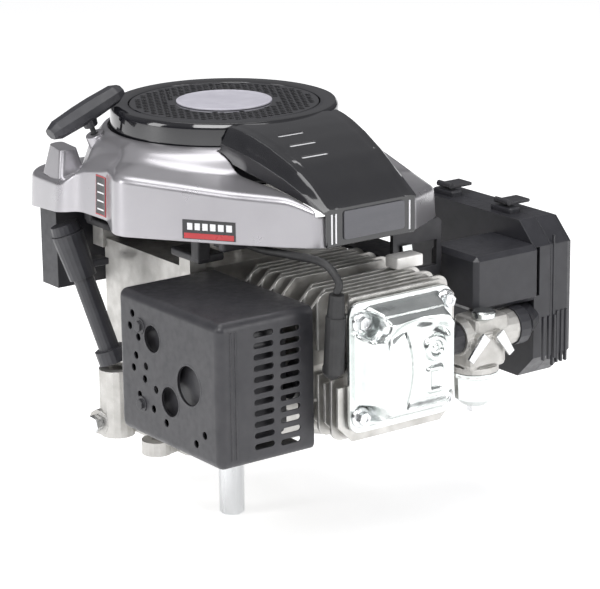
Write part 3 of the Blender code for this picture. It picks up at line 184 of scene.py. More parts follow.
def lofted(sections, close_round=False):
    """A solid through sections of the same count: closed at both ends, or joined back from last to first."""
    bm = bmesh.new()
    rings = [[bm.verts.new(point) for point in section] for section in sections]
    pairs = list(zip(rings, rings[1:]))
    if close_round:
        pairs.append((rings[-1], rings[0]))
    else:
        bm.faces.new(rings[0])
        bm.faces.new(rings[-1])
    for first, second in pairs:
        join_rings(bm, first, second)
    return bm


def hexagon(centre, across, low, high, axis=2, edge=0.5):
    """A hexagonal head about a point, across its flats."""
    radius = across / math.sqrt(3)
    turns = [math.radians(60 * i + 30) for i in range(6)]
    outline = [(centre[0] + radius * math.cos(a), centre[1] + radius * math.sin(a)) for a in turns]
    return prism(outline, low, high, axis, edge, 2)


def gathered(shapes):
    """Shapes that don't touch, as one bmesh."""
    whole = bmesh.new()
    for shape in shapes:
        copy = bpy.data.meshes.new("copy")
        shape.to_mesh(copy)
        shape.free()
        whole.from_mesh(copy)
        bpy.data.meshes.remove(copy)
    return whole


def temporary(bm):
    bmesh.ops.recalc_face_normals(bm, faces=bm.faces[:])
    mesh = bpy.data.meshes.new("temporary")
    bm.to_mesh(mesh)
    bm.free()
    made = bpy.data.objects.new("temporary", mesh)
    bpy.context.scene.collection.objects.link(made)
    return made


def joined(base, add=(), cut=(), solver="MANIFOLD"):
    """One closed shape: the base with shapes joined to it, and then others cut from it."""
    main = temporary(base)
    extra = []
    for operation, shapes in (("UNION", add), ("DIFFERENCE", cut)):
        for shape in shapes:
            modifier = main.modifiers.new("step", "BOOLEAN")
            modifier.operation = operation
            modifier.solver = solver
            extra.append(temporary(shape))
            modifier.object = extra[-1]
    bpy.context.view_layer.update()
    evaluated = main.evaluated_get(bpy.context.evaluated_depsgraph_get())
    bm = bmesh.new()
    bm.from_mesh(evaluated.to_mesh())
    evaluated.to_mesh_clear()
    for obj in (main, *extra):
        mesh = obj.data
        bpy.data.objects.remove(obj)
        bpy.data.meshes.remove(mesh)
    bmesh.ops.remove_doubles(bm, verts=bm.verts[:], dist=1e-4)
    bmesh.ops.dissolve_degenerate(bm, edges=bm.edges[:], dist=1e-4)
    return bm


def fillet(points, radius, steps=6, closed=True):
    """A polygon, or an open line, with its corners rounded. Every corner gets the same number of points."""
    points = [Vector(p) for p in points]
    count = len(points)
    radii = radius if isinstance(radius, (list, tuple)) else [radius] * count
    made = []
    for i, here in enumerate(points):
        if not closed and i in (0, count - 1):
            made.append(here)
            continue
        back, ahead = points[i - 1] - here, points[(i + 1) % count] - here
        reach_out = min(radii[i], 0.48 * back.length, 0.48 * ahead.length)
        start, end = here + back / back.length * reach_out, here + ahead / ahead.length * reach_out
        for step in range(steps + 1):
            t = step / steps
            made.append(start * (1 - t) ** 2 + here * 2 * t * (1 - t) + end * t**2)
    return made


def smooth_route(points, steps):
    """Points along a smooth curve through the route's own points."""
    points = [Vector(p) for p in points]
    padded = [2 * points[0] - points[1], *points, 2 * points[-1] - points[-2]]
    route = []
    for i in range(len(points) - 1):
        a, b, c, d = padded[i : i + 4]
        for step in range(steps):
            t = step / steps
            route.append(0.5 * (2 * b + (c - a) * t + (2 * a - 5 * b + 4 * c - d) * t**2
                                + (3 * b - a - 3 * c + d) * t**3))
    route.append(points[-1])
    return route


def tube(points, radius, sides=16):
    """A closed round tube along points. radius is a number, or one for each point."""
    points = [Vector(p) for p in points]
    radii = radius if isinstance(radius, (list, tuple)) else [radius] * len(points)
    across = (points[1] - points[0]).orthogonal().normalized()
    sections = []
    for i, here in enumerate(points):
        along = (points[min(i + 1, len(points) - 1)] - points[max(i - 1, 0)]).normalized()
        across = (across - along * across.dot(along)).normalized()
        other = along.cross(across)
        sections.append([here + (across * math.cos(a) + other * math.sin(a)) * radii[i]
                         for a in [2 * math.pi * k / sides for k in range(sides)]])
    return lofted(sections)


def smoothstep(low, high, value):
    t = max(0.0, min(1.0, (value - low) / (high - low)))
    return t * t * (3 - 2 * t)


def to_box(x, y, half_x, half_y, radius):
    """Distance outside a rounded rectangle about the origin, below 0 inside it."""
    dx, dy = abs(x) - half_x + radius, abs(y) - half_y + radius
    return math.hypot(max(dx, 0), max(dy, 0)) + min(max(dx, dy), 0) - radius


# Materials


class Nodes:
    """A material's node tree, with short calls for the nodes used here."""

    def __init__(self, name):
        self.material = bpy.data.materials.new(name)
        self.material.use_nodes = True
        self.tree = self.material.node_tree
        self.shader = self.tree.nodes["Principled BSDF"]
        self.place = self.add("ShaderNodeTexCoord").outputs["Object"]

    def add(self, kind, **settings):
        node = self.tree.nodes.new(kind)
        for key, value in settings.items():
            setattr(node, key, value)
        return node

    def link(self, source, target):
        self.tree.links.new(source, target)

    def noise(self, size_mm, detail=3.0, stretch=None, roughness=0.5, distortion=0.0):
        """Noise whose grain is about size_mm, stretched along the axes if asked."""
        node = self.add("ShaderNodeTexNoise")
        node.inputs["Scale"].default_value = 1.0 / (size_mm * MM)
        node.inputs["Detail"].default_value = detail
        node.inputs["Roughness"].default_value = roughness
        node.inputs["Distortion"].default_value = distortion
        source = self.place
        if stretch:
            mapping = self.add("ShaderNodeMapping")
            mapping.inputs["Scale"].default_value = stretch
            self.link(self.place, mapping.inputs["Vector"])
            source = mapping.outputs["Vector"]
        self.link(source, node.inputs["Vector"])
        return node.outputs["Fac"]

    def spots(self, size_mm, randomness=1.0):
        node = self.add("ShaderNodeTexVoronoi")
        node.inputs["Scale"].default_value = 1.0 / (size_mm * MM)
        node.inputs["Randomness"].default_value = randomness
        self.link(self.place, node.inputs["Vector"])
        return node.outputs["Distance"]

    def spread(self, source, low, high, start=0.0, end=1.0):
        """source from low..high mapped on start..end and kept inside it."""
        node = self.add("ShaderNodeMapRange")
        for key, value in (("From Min", low), ("From Max", high), ("To Min", start), ("To Max", end)):
            node.inputs[key].default_value = value
        self.link(source, node.inputs["Value"])
        return node.outputs["Result"]

    def mix(self, share, first, second):
        node = self.add("ShaderNodeMix", data_type="RGBA")
        self.link(share, node.inputs["Factor"])
        for socket, value in ((node.inputs["A"], first), (node.inputs["B"], second)):
            if isinstance(value, tuple):
                socket.default_value = (*value, 1.0)
            else:
                self.link(value, socket)
        return node.outputs["Result"]

    def math(self, operation, first, second):
        node = self.add("ShaderNodeMath", operation=operation)
        for socket, value in zip(node.inputs, (first, second)):
            if isinstance(value, (int, float)):
                socket.default_value = value
            else:
                self.link(value, socket)
        return node.outputs["Value"]

    def bump(self, height, depth_mm, strength, under=None):
        node = self.add("ShaderNodeBump")
        node.inputs["Strength"].default_value = strength
        node.inputs["Distance"].default_value = depth_mm * MM
        self.link(height, node.inputs["Height"])
        if under is not None:
            self.link(under, node.inputs["Normal"])
        return node.outputs["Normal"]

    def rounded_edges(self, radius_mm):
        node = self.add("ShaderNodeBevel", samples=4)
        node.inputs["Radius"].default_value = radius_mm * MM
        return node.outputs["Normal"]

    def edge_mask(self, rounded):
        """1 near an edge, from how far the rounded normal leaves the face's own."""
        geometry = self.add("ShaderNodeNewGeometry")
        dot = self.add("ShaderNodeVectorMath", operation="DOT_PRODUCT")
        self.link(rounded, dot.inputs[0])
        self.link(geometry.outputs["Normal"], dot.inputs[1])
        return self.spread(dot.outputs["Value"], 0.995, 0.93)


def finish(name, colour, second, roughness, metallic=0.0, edge=0.5, wear=None, wear_share=0.6, mottle_mm=14.0,
           grain_mm=0.5, grain_depth=0.02, grain=0.4, rough_range=0.08, coat=0.0, coat_roughness=0.08, stretch=None,
           pits=0.0, pit_mm=0.9, sheen=0.0, specular=0.5):
    """A finish with large mottling in colour, a fine grain in relief and roughness, and worn or paler edges."""
    n = Nodes(name)
    mottle = n.spread(n.noise(mottle_mm, 4.0, stretch), 0.3, 0.7)
    fine = n.noise(grain_mm, 3.0, stretch)
    base = n.mix(mottle, colour, second)
    speck = n.spread(fine, 0.35, 0.75, 0.0, 0.35)
    base = n.mix(speck, base, tuple(0.75 * c for c in colour))
    rounded = n.rounded_edges(edge)
    if wear:
        mask = n.edge_mask(rounded)
        broken = n.math("MULTIPLY", mask, n.spread(n.noise(2.5, 4.0), 0.35, 0.65, 0.15, wear_share))
        base = n.mix(broken, base, wear)
    n.link(base, n.shader.inputs["Base Color"])
    n.link(n.spread(n.noise(mottle_mm * 0.4, 4.0, stretch), 0.3, 0.7, roughness - rough_range, roughness + rough_range),
           n.shader.inputs["Roughness"])
    normal = n.bump(fine, grain_depth, grain, rounded)
    if pits:
        normal = n.bump(n.spread(n.spots(pit_mm), 0.0, 0.6), 0.12, pits, normal)
    n.link(normal, n.shader.inputs["Normal"])
    for socket, value in (("Metallic", metallic), ("Coat Weight", coat), ("Coat Roughness", coat_roughness),
                          ("Sheen Weight", sheen), ("Specular IOR Level", specular)):
        n.shader.inputs[socket].default_value = value
    return n.material


BRIGHT = (0.80, 0.80, 0.80)
FINISHES = {
    "cast_alloy": finish("cast_alloy", (0.56, 0.55, 0.53), (0.42, 0.41, 0.39), 0.46, 0.85, edge=0.8, wear=BRIGHT,
                         grain_mm=0.9, grain_depth=0.10, grain=0.7, pits=0.35, pit_mm=1.3),
    "fin_alloy": finish("fin_alloy", (0.60, 0.59, 0.57), (0.40, 0.39, 0.37), 0.40, 0.9, edge=0.7, wear=BRIGHT,
                        grain_mm=0.8, grain_depth=0.06, grain=0.5),
    "bright_alloy": finish("bright_alloy", (0.80, 0.79, 0.77), (0.66, 0.65, 0.63), 0.42, 0.6, edge=0.8, wear=BRIGHT,
                           grain_mm=0.8, grain_depth=0.08, grain=0.5, pits=0.2),
    "bright_steel": finish("bright_steel", (0.74, 0.75, 0.76), (0.60, 0.61, 0.62), 0.24, 1.0, edge=0.4,
                           grain_mm=0.35, grain_depth=0.006, grain=0.4, stretch=(1.0, 1.0, 0.08)),
    "zinc_plate": finish("zinc_plate", (0.74, 0.77, 0.76), (0.60, 0.63, 0.62), 0.20, 1.0, edge=0.6, mottle_mm=22.0,
                         grain_mm=0.8, grain_depth=0.006, grain=0.3, rough_range=0.06),
    "black_steel": finish("black_steel", (0.022, 0.022, 0.026), (0.034, 0.033, 0.037), 0.42, 0.1, edge=0.7,
                          wear=(0.09, 0.09, 0.095), grain_mm=0.45, grain_depth=0.02, grain=0.5),
    "silver_paint": finish("silver_paint", (0.40, 0.39, 0.41), (0.36, 0.35, 0.37), 0.30, 0.75, edge=1.2,
                           grain_mm=0.25, grain_depth=0.004, grain=0.25, mottle_mm=60.0, rough_range=0.03, coat=0.35,
                           coat_roughness=0.12),
    "black_plastic": finish("black_plastic", (0.018, 0.018, 0.022), (0.026, 0.026, 0.031), 0.38, edge=0.8,
                            wear=(0.06, 0.06, 0.065), grain_mm=0.6, grain_depth=0.015, grain=0.35),
    "gloss_plastic": finish("gloss_plastic", (0.006, 0.006, 0.008), (0.009, 0.009, 0.011), 0.10, edge=0.8,
                            grain_mm=0.6, grain_depth=0.002, grain=0.15, rough_range=0.03, coat=0.6,
                            coat_roughness=0.04),
    "grey_plastic": finish("grey_plastic", (0.46, 0.45, 0.50), (0.40, 0.39, 0.44), 0.45, edge=0.6, grain_mm=0.5,
                           grain_depth=0.01, grain=0.3),
    "rubber": finish("rubber", (0.012, 0.012, 0.013), (0.020, 0.020, 0.021), 0.55, edge=0.6, grain_mm=0.8,
                     grain_depth=0.02, grain=0.4),
    "cord": finish("cord", (0.020, 0.020, 0.022), (0.035, 0.035, 0.038), 0.80, edge=0.3, grain_mm=0.5,
                   grain_depth=0.08, grain=0.8, sheen=0.3, stretch=(1.0, 1.0, 0.35)),
    "foam": finish("foam", (0.10, 0.09, 0.08), (0.06, 0.055, 0.05), 0.95, edge=0.6, grain_mm=1.2, grain_depth=0.3,
                   grain=1.0, pits=0.8, pit_mm=1.5),
    "dark_label": finish("dark_label", (0.012, 0.012, 0.014), (0.018, 0.018, 0.020), 0.30, edge=0.3, grain_mm=0.8,
                         grain_depth=0.003, grain=0.2, coat=0.3),
    "red_label": finish("red_label", (0.42, 0.020, 0.025), (0.36, 0.015, 0.020), 0.32, edge=0.3, grain_mm=0.8,
                        grain_depth=0.003, grain=0.2, coat=0.3),
    "white_label": finish("white_label", (0.74, 0.74, 0.76), (0.66, 0.66, 0.68), 0.35, edge=0.3, grain_mm=0.8,
                          grain_depth=0.003, grain=0.2, coat=0.2),
    "badge": finish("badge", (0.085, 0.085, 0.095), (0.11, 0.11, 0.12), 0.34, 0.4, edge=0.4, grain_mm=0.3,
                    grain_depth=0.004, grain=0.3, stretch=(0.1, 1.0, 1.0), coat=0.2),
}


def piece(name, bm, look, body, stands_for=(), angle=32.0):
    """A shown piece from a bmesh in millimetres, riding on a body and standing for CAD nodes."""
    bmesh.ops.remove_doubles(bm, verts=bm.verts[:], dist=1e-4)
    bm.transform(Matrix.Diagonal((MM, MM, MM, 1.0)))
    bmesh.ops.recalc_face_normals(bm, faces=bm.faces[:])
    mesh = bpy.data.meshes.new(name)
    bm.to_mesh(mesh)
    bm.free()
    mesh.shade_smooth()
    mesh.set_sharp_from_angle(angle=math.radians(angle))
    made = bpy.data.objects.new(name, mesh)
    bpy.context.scene.collection.objects.link(made)
    mesh.materials.append(FINISHES[look])
    weighted = made.modifiers.new("even_normals", "WEIGHTED_NORMAL")
    weighted.keep_sharp = True
    if body:
        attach(made, body)
    if stands_for:
        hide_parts(*stands_for)
    return made


def dress_cad_nodes():
    """Gives every CAD node the finish of its own material slot."""
    special = {"cylinder_block": "fin_alloy", "cylinder_head": "fin_alloy"}
    slots = {m["slot"] for m in frame["record"]["materials"]}
    for name, node in frame["nodes"].items():
        current = node.data.materials[0].name.split(".")[0] if node.data.materials else ""
        look = special.get(name, current if current in slots else "black_plastic")
        node.data.materials.clear()
        node.data.materials.append(FINISHES[look])


# Camera, light and floor


def make_camera():
    """The photograph's view: the engine from its muffler side, a little above, with a long lens."""
    azimuth, elevation, roll = math.radians(-36.0), math.radians(16.0), 0.012
    data = bpy.data.cameras.new("camera")
    data.lens, data.sensor_width = 156.0, 36.0
    data.clip_start, data.clip_end = 0.05, 50.0
    camera = bpy.data.objects.new("camera", data)
    back = Vector((math.sin(azimuth) * math.cos(elevation), -math.cos(azimuth) * math.cos(elevation),
                   math.sin(elevation)))
    right = Vector((math.cos(azimuth), math.sin(azimuth), 0.0))
    up = back.cross(right)
    right, up = (right * math.cos(roll) - up * math.sin(roll), right * math.sin(roll) + up * math.cos(roll))
    turn = Matrix((right, up, back)).transposed().to_4x4()
    camera.matrix_world = Matrix.Translation((-1.20848, -1.76826, 0.73076)) @ turn
    bpy.context.scene.collection.objects.link(camera)
    bpy.context.scene.camera = camera


def area_light(name, place, target, size, power, colour=(1.0, 1.0, 1.0)):
    data = bpy.data.lights.new(name, "AREA")
    data.shape, data.size, data.size_y = "RECTANGLE", size[0], size[1]
    data.energy, data.color = power, colour
    light = bpy.data.objects.new(name, data)
    direction = Vector(target) - Vector(place)
    light.matrix_world = Matrix.Translation(place) @ direction.to_track_quat("-Z", "Y").to_matrix().to_4x4()
    bpy.context.scene.collection.objects.link(light)


def make_studio():
    world = bpy.data.worlds.new("studio")
    bpy.context.scene.world = world
    world.use_nodes = True
    tree = world.node_tree
    background = tree.nodes["Background"]
    place = tree.nodes.new("ShaderNodeTexCoord")
    split = tree.nodes.new("ShaderNodeSeparateXYZ")
    ramp = tree.nodes.new("ShaderNodeValToRGB")
    ramp.color_ramp.elements[0].position, ramp.color_ramp.elements[0].color = 0.0, (0.10, 0.10, 0.11, 1)
    ramp.color_ramp.elements[1].position, ramp.color_ramp.elements[1].color = 1.0, (0.62, 0.62, 0.63, 1)
    tree.links.new(place.outputs["Generated"], split.inputs["Vector"])
    tree.links.new(split.outputs["Z"], ramp.inputs["Fac"])
    tree.links.new(ramp.outputs["Color"], background.inputs["Color"])
    background.inputs["Strength"].default_value = 0.8
    middle = (0.0, 0.0, 0.12)
    area_light("key", (-1.3, -1.1, 1.7), middle, (1.2, 1.2), 36.0)
    area_light("front", (0.9, -2.2, 0.9), middle, (0.9, 1.4), 22.0)
    area_light("side", (-2.0, 0.6, 0.8), middle, (0.6, 1.4), 14.0)
    area_light("top", (0.1, 0.2, 2.2), middle, (1.4, 1.4), 20.0)

    n = Nodes("pale_floor")
    n.link(n.mix(n.noise(400.0, 2.0), (0.93, 0.93, 0.93), (0.96, 0.96, 0.96)), n.shader.inputs["Base Color"])
    n.shader.inputs["Roughness"].default_value = 0.9
    n.shader.inputs["Emission Color"].default_value = (1.0, 1.0, 1.0, 1.0)
    n.shader.inputs["Emission Strength"].default_value = 0.5
    n.shader.inputs["Specular IOR Level"].default_value = 0.1
    mesh = bpy.data.meshes.new("floor")
    floor_z = CAD_BOX[0].z - 0.0005
    mesh.from_pydata([(-9, -9, floor_z), (9, -9, floor_z), (9, 9, floor_z), (-9, 9, floor_z)], [], [(0, 1, 2, 3)])
    mesh.materials.append(n.material)
    floor = bpy.data.objects.new("floor", mesh)
    bpy.context.scene.collection.objects.link(floor)
    bpy.context.scene.view_settings.view_transform = "Standard"


# Driving dimensions, as in the CAD model, in millimetres

CYLINDER_Z = 119.0
DECK_Y = -176.0
HEAD_FRONT_Y = -236.0
FIN_PITCH = 8.4
CARB_X, CARB_Y = 118.0, -188.0
FIN_THICK = 2.4
HOUSING_RIM = (  # corners of the housing's side: x, y, and the heights of its lower and upper edge
    (-47, -197, 207, 237), (47, -197, 207, 235), (108, -150, 199.5, 226), (150, -70, 190, 218), (150, -20, 188, 232),
    (138, 100, 188, 228), (100, 150, 188, 222), (-98, 150, 188, 220), (-115, 132, 189, 220), (-134, 52, 201, 228),
    (-124, 34, 204, 242), (-125, -10, 205, 250), (-148, -56, 205, 254), (-90, -136, 205, 246.5), (-61, -177, 206, 245),
)
COVER_BACK_Y, COVER_FRONT_Y = -86.0, -197.6
COVER_HALF = (63.0, 46.5)
COVER_EDGE_Z = (262.0, 236.5)
COVER_CROWN = ((-86.0, 286.5), (-98.0, 285.3), (-112.0, 282.5), (-132.0, 276.5), (-158.0, 266.0), (-180.0, 252.5),
               (-190.0, 245.0), (-197.6, 239.5))
PULL = Vector((-0.38, 0.0, 0.925)).normalized()
ROPE_EXIT = Vector((-104.0, 40.0, 267.0))


# Blower housing

RIM_DENSE = fillet(HOUSING_RIM, [6, 8, 10, 16, 14, 26, 26, 18, 12, 10, 8, 8, 14, 8, 6], 6)


def rim(angle):
    """The housing's side in a direction: its distance from the crankshaft's axis, lower edge and upper edge."""
    direction = Vector((math.cos(angle), math.sin(angle)))
    found = (0.0, 0.0, 0.0)
    for a, b in zip(RIM_DENSE, RIM_DENSE[1:] + RIM_DENSE[:1]):
        edge = Vector((b[0] - a[0], b[1] - a[1]))
        cross = direction.x * edge.y - direction.y * edge.x
        if abs(cross) < 1e-9:
            continue
        distance = (a[0] * edge.y - a[1] * edge.x) / cross
        share = (a[0] * direction.y - a[1] * direction.x) / cross
        if distance > found[0] and -1e-6 <= share <= 1 + 1e-6:
            found = (distance, a[2] + (b[2] - a[2]) * share, a[3] + (b[3] - a[3]) * share)
    return found


def decal(start, end, low, high, out=0.5):
    """A thin patch on the housing's side, between two angles in degrees and two heights."""
    sections = []
    for i in range(13):
        angle = math.radians(start + (end - start) * i / 12)
        far, bottom, top = rim(angle)
        sections.append([])
        for z, depth in ((low, -1.0), (low, out), (high, out), (high, -1.0)):
            r = far - 1.6 * (z - bottom) / (top - 3.0 - bottom) + depth
            sections[-1].append((r * math.cos(angle), r * math.sin(angle), z))
    return lofted(sections)


def make_blower_housing():
    sides, thick = 240, 2.6
    columns = []
    for i in range(sides):
        angle = 2 * math.pi * i / sides
        far, low, top = rim(angle)
        line = [(far, low), (far - 1.6, top - 3.0), (far - 6.0, top), (min(far - 14, 122), top + 5.6),
                (min(far - 17, 113), top + 5.6 + 0.66 * (263.4 - top)), (102.0, 268.6), (98.4, 269.0)]
        outside = fillet(line, [0, 4, 4, 6, 9, 3, 0], 4, closed=False)
        inside = [Vector((98.4, 266.4))] + [
            Vector((r - thick, z - thick if k else z)) for k, (r, z) in reversed(list(enumerate(outside))[:-1])]
        inside[-1].y = outside[0].y
        columns.append([(p[0] * math.cos(angle), p[0] * math.sin(angle), p[1]) for p in (*outside, *inside)])
    sections = [[column[k] for column in columns] for k in range(len(columns[0]))]
    shell = lofted(sections, close_round=True)
    back, front = COVER_HALF
    tongue = prism([(-back - 1.5, COVER_BACK_Y + 4), (-front - 1.5, COVER_FRONT_Y + 6), (-front - 1.5, -230),
                    (front + 1.5, -230), (front + 1.5, COVER_FRONT_Y + 6), (back + 1.5, COVER_BACK_Y + 4)], 231.0, 300.0)
    low, high = cad("fuel_cap")
    cap_middle, cap_r = (low + high) / 2, (high.x - low.x) / 2
    neck = bar((cap_middle.x, cap_middle.y, 200), (cap_middle.x, cap_middle.y, 300), cap_r + 1.6, sides=64)
    rope_hole = bar(ROPE_EXIT - PULL * 40, ROPE_EXIT + PULL * 10, 3.4, sides=24)
    hump = lofted([fillet(ring, 6, 4) for ring in (
        [Vector((-127, 60, 224)), Vector((-118, 104, 224)), Vector((-96, 108, 224)), Vector((-100, 58, 224))],
        [Vector((-121, 66, 249)), Vector((-114, 98, 249)), Vector((-100, 100, 249)), Vector((-104, 66, 249))])])
    guide = bar(ROPE_EXIT - PULL * 14, ROPE_EXIT - PULL * 0.6, 8.0, sides=40, edge=1.2)
    piece("blower_housing_shell", joined(shell, add=[hump, guide], cut=[tongue, neck, rope_hole]), "silver_paint",
          "engine", ["blower_housing"])
    # The four legs under the dome, on the crankcase's ears.
    low = 177.3
    legs = []
    for sx in (-1, 1):
        for sy in (-1, 1):
            far, _, top = rim(math.atan2(sy, sx) % (2 * math.pi))
            share = (far - 5 - 88 * math.sqrt(2)) / (far - 5 - min(far - 14, 122))
            post = block(sorted((sx * 76, sx * 88)), sorted((sy * 76, sy * 88)), (low + 4, top + 5.6 * share - 1.5),
                         2, 3, along=2)
            foot = block(sorted((sx * 62, sx * 87)), sorted((sy * 45, sy * 87)), (low, low + 7), 2, 3)
            legs.append(joined(post, add=[foot]))
    piece("blower_housing_legs", gathered(legs), "black_steel", "engine")
    # Decals with plain bars only: a dark one with a red band on the left skirt, and one in the side's recess.
    piece("skirt_decal", decal(222.5, 238.0, 207.5, 223.0), "dark_label", "engine")
    piece("skirt_decal_band", decal(223.0, 237.6, 208.0, 212.4, 0.65), "red_label", "engine")
    marks = [decal(224.0 + 2.3 * i, 225.6 + 2.3 * i, 215.0, 220.5, 0.65) for i in range(6)]
    piece("skirt_decal_marks", gathered(marks), "white_label", "engine")
    piece("recess_decal_edge", decal(176.6, 184.2, 207.5, 240.5), "red_label", "engine")
    piece("recess_decal", decal(176.9, 183.9, 208.5, 239.5, 0.62), "dark_label", "engine")
    marks = [decal(178.0, 182.8, 212.0 + 7.0 * i, 213.2 + 7.0 * i, 0.75) for i in range(4)]
    piece("recess_decal_marks", gathered(marks), "white_label", "engine")


# Top cover: the gloss ring round the screen, and the tongue over the front of the housing


def crown(y):
    """Height of the cover's top at a place along Y."""
    for (a, high), (b, low) in zip(COVER_CROWN, COVER_CROWN[1:]):
        if b <= y <= a:
            return high + (low - high) * (y - a) / (b - a)
    return COVER_CROWN[-1][1]


def tongue_section(share):
    """A closed row across the tongue, an upturned U, from its back at 0 to its front at 1."""
    y = COVER_BACK_Y + (COVER_FRONT_Y - COVER_BACK_Y) * share
    half = COVER_HALF[0] + (COVER_HALF[1] - COVER_HALF[0]) * share
    edge = COVER_EDGE_Z[0] + (COVER_EDGE_Z[1] - COVER_EDGE_Z[0]) * share
    top = crown(y)
    middle = edge + 0.5 * (top - edge)
    outer = [Vector((-half, y, edge)), Vector((-half, y, middle))]
    for k in range(1, 40):
        u = -1 + 2 * k / 40
        fall = smoothstep(0.80, 1.0, abs(u))
        groove = 0.9 * math.exp(-((abs(u) - 0.74) / 0.022) ** 2)
        outer.append(Vector((half * u, y, top - (top - middle) * fall * fall - groove)))
    outer += [Vector((half, y, middle)), Vector((half, y, edge))]
    inner = [Vector((p.x * (half - 3.0) / half, y, p.z - (3.0 if 0 < k < len(outer) - 1 else 0.3)))
             for k, p in enumerate(outer)]
    return outer + inner[::-1]


def make_top_cover():
    ring = turned([(92.5, 262), (96, 262), (96, 282.5), (95.4, 285.0), (93.6, 287.2), (91, 288.0), (86, 288.0),
                   (83.2, 287.4), (80.9, 286.4), (80.4, 285.2), (80.4, 280), (83, 280), (84.5, 284), (91.5, 284)],
                  sides=144)
    sections = [tongue_section(i / 32) for i in range(33)]
    sections.append([Vector((p.x * 0.985, COVER_FRONT_Y - 3.2, p.z - 1.6)) for p in sections[-1]])
    lip = block((-43, 45), (COVER_FRONT_Y - 3.2, COVER_FRONT_Y + 0.2), (207, COVER_CROWN[-1][1] - 2.5), 1.4, 3)
    louvres = []
    for i in range(3):
        y = -118.0 - 16.0 * i
        louvres.append(block((-30, -4), (y - 1.6, y + 1.6), (225, 300), 1.5, 3, along=2))
    cover = joined(lofted(sections), add=[ring, lip], cut=[gathered(louvres)], solver="EXACT")
    piece("top_cover_shell", cover, "gloss_plastic", "engine", ["top_cover"], angle=28)
    # Bright slats behind the louvres, a thin seam line down each side and the badge plate on the lip.
    slats = []
    for i in range(3):
        y = -118.0 - 16.0 * i
        z = crown(y) - 1.8
        slats.append(block((-29.5, -4.5), (y - 1.3, y + 1.3), (z - 1.2, z + 1.3), 0.4, 2))
    piece("cover_louvre_slats", gathered(slats), "white_label", "engine")
    plate = prism(fillet([(-27, 212), (33, 212), (33, 235), (-27, 235)], 2.0, 4), COVER_FRONT_Y - 4.4,
                  COVER_FRONT_Y - 3.0, axis=1, edge=0.5)
    piece("cover_badge_plate", plate, "badge", "engine")
    trims = [block((x - 0.7, x + 0.7), (COVER_FRONT_Y - 4.0, COVER_FRONT_Y - 3.0), (210, 234), 0.3, 2)
             for x in (-38.5, -34.5, 38.5)]
    piece("cover_lip_trims", gathered(trims), "white_label", "engine")


def make_grille():
    """The screen over the fan: a disc with round holes in a staggered pattern between the badge and the ring."""
    pitch, hole_r, outer, inner = 6.4, 2.45, 76.5, 43.0
    disc = turned([(0.0, 283.0), (79.2, 283.0), (79.8, 283.6), (79.8, 285.9), (79.2, 286.5), (0.0, 286.5)], sides=96)
    holes = []
    rows = int(outer / (pitch * math.sqrt(3) / 2)) + 1
    for row in range(-rows, rows + 1):
        for column in range(-rows - 2, rows + 3):
            x = pitch * (column + 0.5 * (row % 2))
            y = pitch * row * math.sqrt(3) / 2
            if inner + hole_r < math.hypot(x, y) < outer - hole_r:
                holes.append(bar((x, y, 280), (x, y, 290), hole_r, sides=10))
    piece("grille_screen_mesh", joined(disc, cut=[gathered(holes)]), "gloss_plastic", "engine", ["grille_screen"])
    disc = turned([(0.0, 286.6), (40.0, 286.6), (40.4, 287.0), (40.2, 287.9), (39.2, 288.3), (37.6, 288.3),
                   (37.0, 287.9), (0.0, 287.9)], sides=96)
    piece("badge_disc_face", disc, "grey_plastic", "engine", ["badge_disc"])


# Pieces that the plain CAD nodes lack: fins between the CAD fins, ribs, small screws and fittings


def make_fins():
    """The fins between those of the CAD model, which draws every second one, with the ways inside kept open."""
    ways = []
    for node in ("intake_pushrod", "exhaust_pushrod", "intake_valve", "exhaust_valve", "intake_spring",
                 "exhaust_spring", "spark_plug", "plug_cap", "muffler", "exhaust_pipe", "intake_manifold"):
        low, high = cad(node)
        ways.append(block((low.x - 2, high.x + 2), (low.y - 2, high.y + 2), (low.z - 2, high.z + 2)))
    bore = bar((0, -260, CYLINDER_Z), (0, 0, CYLINDER_Z), 36.0, sides=48)
    for name, first, count in (("cylinder_fins_between", DECK_Y + 26.4, 3),
                               ("head_fins_between", HEAD_FRONT_Y + 12.4, 3)):
        fins = []
        for i in range(count):
            y = first + 2 * FIN_PITCH * i
            fins.append(block((-58, 58), (y - FIN_THICK / 2, y + FIN_THICK / 2), (58, 175), 9, 5, along=1))
        whole = joined(gathered(fins), cut=[*(way.copy() for way in ways), bore.copy()], solver="EXACT")
        piece(name, whole, "fin_alloy", "engine")


